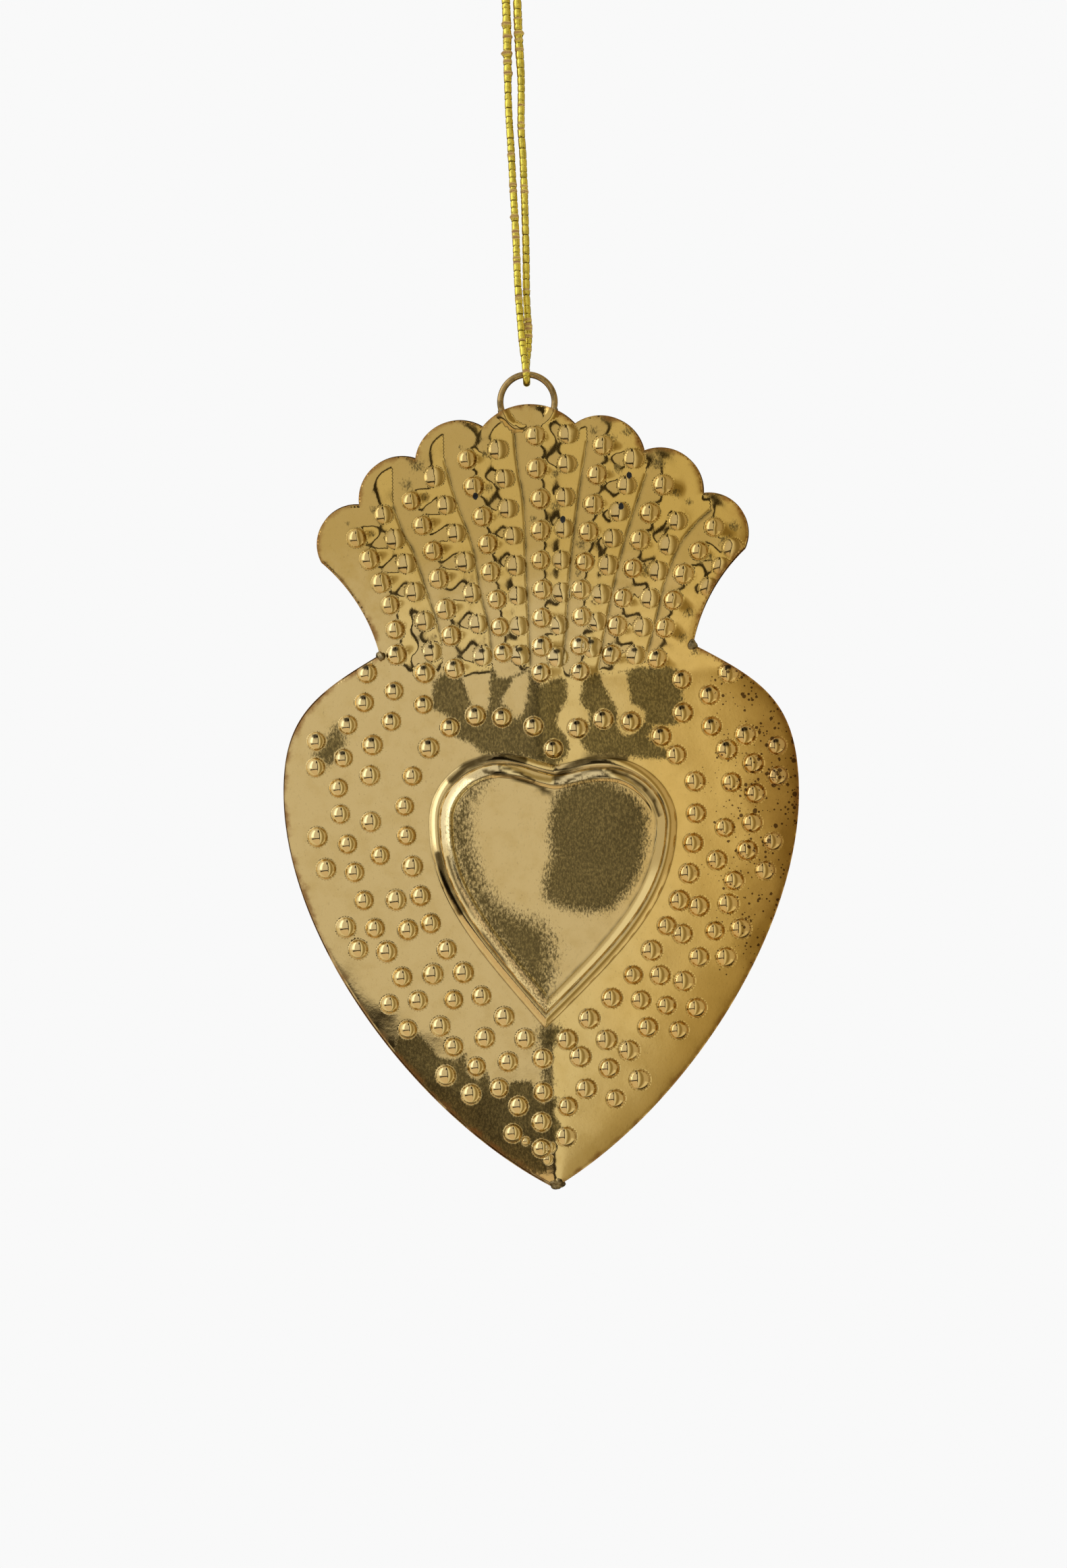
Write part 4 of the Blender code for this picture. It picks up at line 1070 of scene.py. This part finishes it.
def brass_material(name, colours):
    """Pressed brass: yellower and darker to the right as painted shade, browner in the crown, with olive patches of
    painted dark reflection, painted highlight on rubbed parts, rusty edges and creases darkened by painted shade with
    some grime.
    """
    net = Net(name)
    place = net.millimetres()
    x, _, z = net.axes(place)
    broad = net.noise(place, 0.07, 3.0)
    clouds = net.noise(place, 0.35, 4.0, 0.6)
    grain = net.noise(net.node("Mapping", inputs=(("Vector", place), ("Scale", (1.0, 1.0, 0.55)))), 3.4, 3.0, 0.7)

    # Painted dark reflection: the olive patches and the shade spots
    dark = net.ramp(net.wavy(net.attribute("patch"), grain, 1.3), 0.92, 1.42, 0.0, 0.97)
    pale, deep = (tuple(share * channel for channel in colours.olive) for share in OLIVE_RANGE)
    edge = net.ramp(net.wavy(net.attribute("rim"), clouds, -3.2), -1.9, -0.7, 0.75, 0.0)
    torn = torn_holes(net, place, grain)
    net.finish(base_color=net.layered(colours.brass, (
        # Painted shade: yellower, darker brass towards the right
        (net.ramp(net.wavy(x, broad, 20.0), 10.0, 40.0), colours.warm_brass),
        (net.ramp(net.wavy(z, clouds, 16.0), -100.0, -82.0, 0.0, 0.75), colours.crown_brass),
        (net.ramp(clouds, 0.40, 0.75, 0.0, 0.25), colours.crown_brass),
        (net.ramp(net.wavy(x, clouds, 14.0), 36.0, 48.0, 0.0, 0.6), BROWN_EDGE),
        (net.ramp(grain, 0.56, 0.80, 0.0, 0.30), colours.olive),
        # Rubbed wear with painted highlight
        (net.attribute("shine"), colours.polished),
        # Painted dark reflection, in olive
        (dark, net.layered(pale, ((net.ramp(grain, 0.30, 0.62), deep),))),
        (edge, colours.rust),
        # Painted shade with some grime in creases, grooves and round the feet of domes
        (net.times(net.attribute("foot"), net.ramp(clouds, 0.35, 0.65, 0.3, 0.8)), CREASE_SHADE_AND_GRIME),
        # Painted dark reflection in streaks on the inner heart's frame
        (net.times(net.attribute("streak"), net.ramp(clouds, 0.30, 0.55, 0.8, 1.0)), STREAK_REFLECTION_BROWN),
        # Painted black reflection high on the domes under the crown
        (net.times(net.attribute("blob"), 0.93), BLOB_REFLECTION_BLACK),
        (specks(net, place, x, z, clouds), SPECK_BROWN),
        # Painted shade: black of the hollow seen through the torn holes
        (torn, HOLE_SHADE_BLACK),
    )), metallic=net.math("SUBTRACT", 1.0, torn))

    rough = net.ramp(clouds, 0.3, 0.7, 0.07, 0.12)
    for mask, more in ((dark, 0.16), (edge, 0.2), (torn, 0.6)):
        rough = net.wavy(rough, mask, more)
    peel = net.noise(place, 1.6, 3.0, 0.55)
    rugged = net.times(grain, net.ramp(dark, 0.0, 1.0, 0.3, 1.6))
    net.finish(roughness=rough, normal=net.bump(net.plus(peel, rugged), 0.3, 0.02 * MM))
    return net.material


def torn_holes(net, place, grain):
    """1 in the four small tears, painted black as the shade of the hollow inside, 0 round them."""
    gaps = []
    for pixel in HOLES:
        x, z = from_photo(pixel)
        gap = net.node("VectorMath", inputs=((0, place), (1, (x, 0.0, z + WIRE_TOP.z / MM))), operation="SUBTRACT")
        flat = net.node("VectorMath", inputs=((0, gap), (1, (1.0, 0.0, 0.75))), operation="MULTIPLY")
        gaps.append(net.node("VectorMath", "Value", ((0, flat),), operation="LENGTH"))
    nearest_hole = gaps[0]
    for gap in gaps[1:]:
        nearest_hole = net.math("MINIMUM", nearest_hole, gap)
    return net.ramp(net.wavy(nearest_hole, grain, 0.35), HOLE_RADIUS + 0.14, HOLE_RADIUS + 0.24, 1.0, 0.0)


def specks(net, place, x, z, clouds):
    """Brown corrosion spots, thick on the right shoulder and right edge, and few elsewhere."""
    shoulder = net.times(net.ramp(x, 16.0, 38.0),
                         net.times(net.ramp(z, -178.0, -150.0), net.ramp(z, -106.0, -114.0)))
    region = net.times(shoulder, net.ramp(clouds, 0.34, 0.54))
    layers = []
    for scale, most, lone in SPECK_LAYERS:
        cells = net.add("TexVoronoi", (("Scale", scale), ("Vector", place)), feature="F1")
        chance = net.add("SeparateColor", (("Color", cells["Color"]),))
        size = net.wavy(net.times(region, net.times(chance[0], most)), net.ramp(chance[1], 0.86, 1.0), lone)
        layers.append(net.ramp(net.math("SUBTRACT", size, cells["Distance"]), 0.0, 0.06, 0.0, 0.85))
    return net.math("MAXIMUM", *layers)


def plain_metal(name, colour, roughness, bump_scale, bump_height, second=None):
    """A worn metal whose colour and roughness drift, with a fine relief."""
    net = Net(name)
    place = net.millimetres()
    drift = net.noise(place, 0.8, 4.0, 0.6)
    shade = second or tuple(0.45 * channel for channel in colour)
    net.finish(base_color=net.layered(colour, ((net.ramp(drift, 0.4, 0.68), shade),)),
               roughness=net.ramp(drift, 0.3, 0.7, roughness, roughness + 0.2), metallic=1.0,
               normal=net.bump(net.noise(place, bump_scale, 3.0), 0.5, bump_height))
    return net.material


def tinsel_material(colours):
    """Flat gold foil wound on a brown thread."""
    net = Net("tinsel_finish")
    place = net.millimetres()
    bare = net.attribute("bare")
    fuzz = net.noise(place, 6.0, 4.0, 0.7)
    shade = tuple(0.6 * channel for channel in colours.foil)
    net.finish(base_color=net.layered(colours.foil, (
        (net.ramp(net.noise(place, 1.4, 4.0, 0.7), 0.38, 0.7), shade),
        # Painted shade in the step where each turn of foil goes under the next
        (net.ramp(net.attribute("turn"), 0.84, 0.90), FOIL_GAP_SHADE),
        (net.times(bare, net.ramp(fuzz, 0.35, 0.55, 0.5, 1.0)), colours.thread),
    )), metallic=net.ramp(bare, 0.2, 0.6, 1.0, 0.1), roughness=net.ramp(bare, 0.2, 0.6, 0.24, 0.75),
        normal=net.bump(fuzz, 0.6, 0.04 * MM))
    return net.material


def primitive(kind, **settings):
    """Adds a primitive and gives its object."""
    bpy.ops.object.select_all(action="DESELECT")
    getattr(bpy.ops.mesh, f"primitive_{kind}_add")(**settings)
    return bpy.context.object


def smooth_mesh(piece):
    """The mesh of the chosen object, shaded smooth. The object goes."""
    bpy.ops.object.shade_smooth()
    mesh = piece.data
    bpy.data.objects.remove(piece)
    return mesh


def put(name, mesh, body, material):
    """Puts a finished mesh in the scene, on its body."""
    piece = bpy.data.objects.new(name, mesh)
    bpy.context.scene.collection.objects.link(piece)
    mesh.materials.clear()
    mesh.materials.append(material)
    if body:
        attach(piece, body)
    return piece


def cord_path():
    """The cord's middle line, in millimetres from the wire: down in front, under the wire and up behind."""
    bend = WIRE / MM / 2 + CORD_CLEARANCE + CORD_DIAMETER / 2
    turns = np.linspace(0, math.pi, 33)
    under = np.stack([0 * turns, -bend * np.cos(turns), -bend * np.sin(turns)], axis=1)
    left = [Vector((x, y, height)) for height, x, y in LEFT_ROUTE] + [Vector(under[0])]
    right = [Vector((x, y, height)) for height, x, y in RIGHT_ROUTE] + [Vector(under[-1])]
    down = smooth_route(left, CORD_RING_STEP)
    up = smooth_route(right, CORD_RING_STEP)[::-1]
    return np.vstack([down[:-1], under, up[1:]])


def wrapped_tube(name, path, radius, seed):
    """A tube along a path, wound with flat foil: each turn steps in a little under the next."""
    chance = np.random.default_rng(seed)
    walked = np.concatenate([[0], np.cumsum(np.linalg.norm(np.diff(path, axis=0), axis=1))])
    edges = [0.0]
    while edges[-1] < walked[-1] + 3 * FOIL_TURN:
        edges.append(edges[-1] + FOIL_TURN * chance.uniform(0.55, 1.45))
    edges = np.array(edges)
    bands = chance.uniform(0, walked[-1], max(2, int(walked[-1] / BAND_EVERY)))
    tangent = np.gradient(path, axis=0)
    tangent /= np.linalg.norm(tangent, axis=1)[:, None]
    side = np.zeros_like(path)
    guide = np.array((1.0, 0.0, 0.0)) if abs(tangent[0][0]) < 0.8 else np.array((0.0, 1.0, 0.0))
    for i, run in enumerate(tangent):
        guide = guide - run * guide.dot(run)
        guide /= np.linalg.norm(guide)
        side[i] = guide
    other = np.cross(tangent, side)
    turns = np.arange(CORD_SIDES) * math.tau / CORD_SIDES
    slant = 0.22 * np.sin(turns)
    place = walked[:, None] + slant[None, :]
    index = np.clip(np.searchsorted(edges, place) - 1, 0, len(edges) - 2)
    share = np.clip((place - edges[index]) / (edges[index + 1] - edges[index]), 0, 1)
    bare = np.zeros_like(place)
    for band in bands:
        bare = np.maximum(bare, np.exp(-((place - band) / chance.uniform(*BAND_WIDTHS)) ** 2))
    reach = radius * (0.97 + 0.07 * np.sin(share * math.pi) ** 0.6 - 0.12 * (share > 0.88) + 0.10 * bare)
    reach *= 1 + THICKER * ease((path[:, 2] - THICK_ABOVE) / 8.0)[:, None]
    for pixel, rise, half_turn in TUFTS:
        far = np.linalg.norm(path[:, ::2] - np.array(from_photo(pixel)), axis=1)
        if far.min() < 1.2:
            swell = np.exp(-((place - walked[far.argmin()]) / 0.34) ** 2)
            reach += rise * swell * (0.65 + 0.35 * np.cos(turns - math.pi * (1 - half_turn)))[None, :]
            bare = np.maximum(bare, swell)
    verts = (path[:, None, :] + reach[..., None] * (np.cos(turns)[None, :, None] * side[:, None, :]
                                                   + np.sin(turns)[None, :, None] * other[:, None, :]))
    verts = verts.reshape(-1, 3) * MM + np.array(WIRE_TOP)
    rings = np.arange(len(verts)).reshape(-1, CORD_SIDES)
    turned = np.roll(rings, -1, axis=1)
    walls = np.stack([rings[:-1], turned[:-1], turned[1:], rings[1:]], axis=2).reshape(-1, 4)
    mesh = bpy.data.meshes.new(name)
    mesh.from_pydata(verts.tolist(), [], walls.tolist() + [rings[0, ::-1].tolist(), rings[-1].tolist()])
    outwards(mesh)
    mesh.shade_smooth()
    for key, values in (("turn", share), ("bare", bare)):
        mesh.attributes.new(key, "FLOAT", "POINT").data.foreach_set("value", values.reshape(-1).astype(np.float32))
    return mesh


def outwards(mesh):
    """Makes the faces of a closed mesh point outwards."""
    work = bmesh.new()
    work.from_mesh(mesh)
    bmesh.ops.recalc_face_normals(work, faces=work.faces)
    work.to_mesh(mesh)
    work.free()


class HEART_OT_cord(bpy.types.Operator):
    """Makes the tinsel cord, its knot and its two short ends"""

    bl_idname = "heart.cord"
    bl_label = "Tinsel cord"

    def execute(self, context):
        tinsel = tinsel_material(context.scene.heart_colours)
        path = cord_path()
        cord = put("tinsel_cord", wrapped_tube("tinsel_cord", path, CORD_DIAMETER / 2, 3), None, tinsel)
        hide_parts("hanging_cord")
        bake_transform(cord)
        knot = put("tinsel_knot", wrapped_tube("tinsel_knot", knot_path(), CORD_DIAMETER / 2, 5), "knot",
                   tinsel)
        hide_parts("cord_knot")
        for node_name in ("cord_tail_left", "cord_tail_right"):
            piece = put("frayed_" + node_name, wrapped_tube(node_name, tail_path(node_name), CORD_DIAMETER / 2, 9),
                        "knot", tinsel)
            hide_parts(node_name)
        return {"FINISHED"}


def knot_path():
    """Turns of cord wound round the two strands, in millimetres from the wire."""
    low, high = (Vector(corner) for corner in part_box("cord_knot"))
    middle = (low + high) / 2 - WIRE_TOP
    reach = (high.x - low.x) / 2 / MM - CORD_DIAMETER / 2
    rise = (high.z - low.z) / MM - CORD_DIAMETER
    t = np.linspace(0, 1, 260)
    swell = reach * (0.55 + 0.45 * np.sin(math.pi * t) ** 0.5)
    angle = math.tau * KNOT_TURNS * t
    return np.stack([swell * np.cos(angle), swell * np.sin(angle), middle.z / MM + rise * (t - 0.5)], axis=1)


def tail_path(node_name):
    """A short end of cord, inside the CAD node that it stands for."""
    low, high = (Vector(corner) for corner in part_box(node_name))
    side = -1 if "left" in node_name else 1
    inset = CORD_DIAMETER / 2 * MM
    start = Vector(((low.x + inset) if side > 0 else (high.x - inset), 0.0, low.z + 0.3 * inset)) - WIRE_TOP
    end = Vector(((high.x - inset) if side > 0 else (low.x + inset), 0.0, high.z - 0.3 * inset)) - WIRE_TOP
    t = np.linspace(0, 1, 50)[:, None]
    bow = np.sin(math.pi * t) * np.array((side * 0.12, 0.1, 0.0))
    return (np.array(start) * (1 - t) + np.array(end) * t) / MM + bow


class HEART_OT_sheets(bpy.types.Operator):
    """Makes the two pressed sheets, the back one a turned copy, a little askew"""

    bl_idname = "heart.sheets"
    bl_label = "Pressed sheets"

    def execute(self, context):
        sizes = context.scene.heart_sizes
        brass = brass_material("pressed_brass", context.scene.heart_colours)
        front = put("pressed_front", sheet_mesh("pressed_front", sizes, 11), "ornament", brass)
        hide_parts("front_sheet")
        mesh = front.data.copy()
        neck = Matrix.Translation((0.0, 0.0, WIRE_TOP.z + NECK.y * MM))
        mesh.transform(neck @ Matrix.Rotation(BACK_SKEW, 4, "Y") @ neck.inverted() @ Matrix.Rotation(math.pi, 4, "Z"))
        back = put("pressed_back", mesh, "ornament", brass)
        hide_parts("back_sheet")
        return {"FINISHED"}


class HEART_OT_ring(bpy.types.Operator):
    """Makes the wire ring with its slightly flattened bend"""

    bl_idname = "heart.ring"
    bl_label = "Hanging ring"

    def execute(self, context):
        centre = (RING_LOW + RING_HIGH) / 2
        ring = primitive("torus", major_segments=160, minor_segments=24, major_radius=RING_RADIUS,
                         minor_radius=WIRE / 2, location=centre, rotation=(math.pi / 2, 0.0, 0.0))
        bpy.ops.object.transform_apply(location=True, rotation=True, scale=True)
        for vert in ring.data.vertices:
            spoke = vert.co - centre
            angle = math.atan2(spoke.x, spoke.z)
            vert.co -= spoke * RING_BEND * (1 - math.cos(3 * angle + 0.6)) / 2
        finish = plain_metal("aged_wire", context.scene.heart_colours.wire, 0.14, 3.0, 0.02 * MM)
        ring = put("wire_ring", smooth_mesh(ring), "ornament", finish)
        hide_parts("hanging_ring")
        return {"FINISHED"}


class HEART_OT_solder(bpy.types.Operator):
    """Makes the lumps of solder on the necks, the tip and the legs of the ring"""

    bl_idname = "heart.solder"
    bl_label = "Solder"

    def execute(self, context):
        finish = plain_metal("grey_solder", context.scene.heart_colours.solder, 0.32, 2.5, 0.06 * MM,
                             second=SOLDER_SHADE)
        names = ("solder_neck_left", "solder_neck_right", "solder_ring_left", "solder_ring_right", "solder_tip")
        for seed, name in enumerate(names):
            mesh = lump_mesh(name, seed, *LUMPS[name.removesuffix("_left").removesuffix("_right")])
            piece = put("lump_" + name, mesh, "ornament", finish)
            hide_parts(name)
        return {"FINISHED"}


def lump_mesh(name, seed, place, half):
    """A crumbly lump over the edges that it holds, on the side of its CAD node."""
    low, high = (Vector(corner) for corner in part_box(name))
    side = math.copysign(1.0, low.x + high.x)
    ball = primitive("ico_sphere", subdivisions=5, radius=1.0)
    half = Vector(half) * MM
    middle = WIRE_TOP + Vector((side * place[0], 0.0, place[1])) * MM
    chance = np.random.default_rng(seed)
    axes = chance.normal(size=(LUMP_WAVES, 3))
    phases = chance.uniform(0, math.tau, LUMP_WAVES)
    for vert in ball.data.vertices:
        swell = sum(math.sin(LUMP_CRUMBLE * vert.co.dot(Vector(axis)) + phase) for axis, phase in zip(axes, phases))
        vert.co = middle + vert.co * (LUMP_CORE + LUMP_SWELL * swell) * half
    return smooth_mesh(ball)


class HEART_OT_stage(bpy.types.Operator):
    """Sets up the camera, the pale floor and the studio light"""

    bl_idname = "heart.stage"
    bl_label = "Stage"

    def execute(self, context):
        make_camera(context.scene)
        make_floor()
        make_studio()
        make_world(context.scene)
        context.scene.view_settings.view_transform = "Standard"
        return {"FINISHED"}


def make_camera(scene):
    """A long lens straight in front, turned by the photograph's roll."""
    x, z = from_photo((PHOTO_WIDTH / 2, PHOTO_HEIGHT / 2))
    data = bpy.data.cameras.new("camera")
    data.sensor_fit = "VERTICAL"
    data.sensor_height = SENSOR_HEIGHT
    data.lens = SENSOR_HEIGHT * CAMERA_DISTANCE / (PHOTO_HEIGHT * MM_PER_PIXEL * MM)
    camera = bpy.data.objects.new("camera", data)
    scene.collection.objects.link(camera)
    right = Vector((math.cos(ROLL), 0.0, -math.sin(ROLL)))
    up = Vector((math.sin(ROLL), 0.0, math.cos(ROLL)))
    turn = Matrix((right, up, Vector((0.0, -1.0, 0.0)))).transposed()
    camera.matrix_world = Matrix.Translation((x * MM, -CAMERA_DISTANCE, WIRE_TOP.z + z * MM)) @ turn.to_4x4()
    scene.camera = camera


def make_floor():
    """A pale floor well below the ornament."""
    floor = primitive("plane", size=FLOOR_WIDTH, location=(0.0, 0.0, WIRE_TOP.z - FLOOR_DROP))
    floor.name = "floor"
    net = Net("pale_floor")
    cloud = net.noise(net.millimetres(), 0.004)
    net.finish(base_color=net.layered((0.90, 0.90, 0.90), ((cloud, (0.93, 0.93, 0.93)),)), roughness=0.8)
    floor.data.materials.append(net.material)
    floor.visible_glossy = False


def make_world(scene):
    """A plain pale room."""
    world = bpy.data.worlds.new("room")
    scene.world = world
    world.use_nodes = True
    world.node_tree.nodes["Background"].inputs["Color"].default_value = (*(ROOM_GREY,) * 3, 1.0)


def make_studio():
    """The studio that the brass mirrors: a lamp on the left, a dimmer wall on the right, a table edge, dark gaps."""
    studio = primitive("uv_sphere", segments=96, ring_count=48, radius=STUDIO_RADIUS,
                       location=(0.0, 0.0, WIRE_TOP.z - STUDIO_DROP))
    studio.name = "studio"
    net = Net("studio_walls")
    net.nodes.remove(net.nodes["Principled BSDF"])
    x, y, z = net.axes(net.node("TexCoord", "Object"))
    glow = net.node("Emission", inputs=(("Color", studio_colour(net, x, y, z)),))
    net.feed(net.nodes["Material Output"].inputs["Surface"], glow)
    studio.data.materials.append(net.material)
    for ray in ("camera", "diffuse", "shadow", "transmission"):
        setattr(studio, "visible_" + ray, False)


def studio_colour(net, x, y, z):
    """What the brass mirrors in each direction: side is the angle to the right of the camera, rise the angle up."""
    side = net.math("ARCTAN2", x, net.times(y, -1.0))
    rise = net.math("ARCSINE", net.math("DIVIDE", z, STUDIO_RADIUS))
    away, straight, right = (net.math("DIVIDE", axis, STUDIO_RADIUS) for axis in (
        net.wavy(net.wavy(y, x, 0.10), z, -0.45), y, x))

    lamp = net.layered(LAMP, ((net.ramp(side, -1.15, -1.45), LAMP_END),))
    low_right = net.times(net.ramp(rise, -0.30, -0.45), net.ramp(side, 1.2, 1.3))
    bright = net.layered((0.60, 0.52, 0.36), ((low_right, (0.92, 0.86, 0.68)),))
    right_wall = net.layered((0.90, 0.87, 0.74), (
        (net.ramp(side, 0.40, 0.60), (0.53, 0.46, 0.29)),
        (net.ramp(side, 0.60, 0.74), (0.34, 0.27, 0.13)),
        (net.ramp(side, 0.95, 1.15), bright)))
    right_wall = net.layered((0.16, 0.12, 0.06), ((net.ramp(side, 0.17, 0.23), right_wall),))
    back_wall = net.layered((0.52, 0.44, 0.29), ((net.ramp(right, -0.30, 0.30), (0.96, 0.90, 0.76)),))

    gap = net.times(net.window(side, 0.055, 0.185, 0.012), net.ramp(rise, -0.60, -0.5))
    ceiling = net.times(net.window(side, -0.25, 0.12, 0.06), net.window(rise, 0.75, 1.25, 0.05))
    table = net.times(net.window(side, -1.27, 0.12, 0.05), net.window(rise, -0.40, -0.24, 0.02))
    return net.layered((0.78, 0.76, 0.73), (
        (net.ramp(rise, -0.30, -0.34), (0.80, 0.68, 0.53)),
        (net.ramp(side, -1.27, -1.37), (0.90, 0.84, 0.70)),
        (net.times(net.window(side, -1.80, -0.92, 0.09), net.window(rise, -0.10, 0.97, 0.05)), lamp),
        (net.ramp(side, 0.15, 0.16), right_wall),
        (net.ramp(away, 0.40, 0.56), (0.06, 0.045, 0.022)),
        (net.ramp(straight, 0.84, 0.92), back_wall),
        (net.math("MAXIMUM", gap, net.math("MAXIMUM", ceiling, table)), (0.035, 0.030, 0.022)),
    ))


class HEART_PT_panel(bpy.types.Panel):
    """Lists the steps that dress the ornament"""

    bl_idname = "HEART_PT_panel"
    bl_label = "Brass heart"
    bl_space_type = "VIEW_3D"
    bl_region_type = "UI"
    bl_category = "Heart"

    def draw(self, context):
        for group in (context.scene.heart_sizes, context.scene.heart_colours):
            for key in group.__annotations__:
                self.layout.prop(group, key)
        for operator in OPERATORS:
            self.layout.operator(operator.bl_idname)


OPERATORS = (HEART_OT_stage, HEART_OT_cord, HEART_OT_sheets, HEART_OT_ring, HEART_OT_solder)
CLASSES = (HeartSizes, HeartColours) + OPERATORS + (HEART_PT_panel,)


def register():
    for each in CLASSES:
        bpy.utils.register_class(each)
    bpy.types.Scene.heart_sizes = PointerProperty(type=HeartSizes)
    bpy.types.Scene.heart_colours = PointerProperty(type=HeartColours)


def unregister():
    del bpy.types.Scene.heart_colours
    del bpy.types.Scene.heart_sizes
    for each in reversed(CLASSES):
        bpy.utils.unregister_class(each)


def main():
    register()
    for operator in OPERATORS:
        group, name = operator.bl_idname.split(".")
        getattr(getattr(bpy.ops, group), name)()


if __name__ == "__main__":
    main()
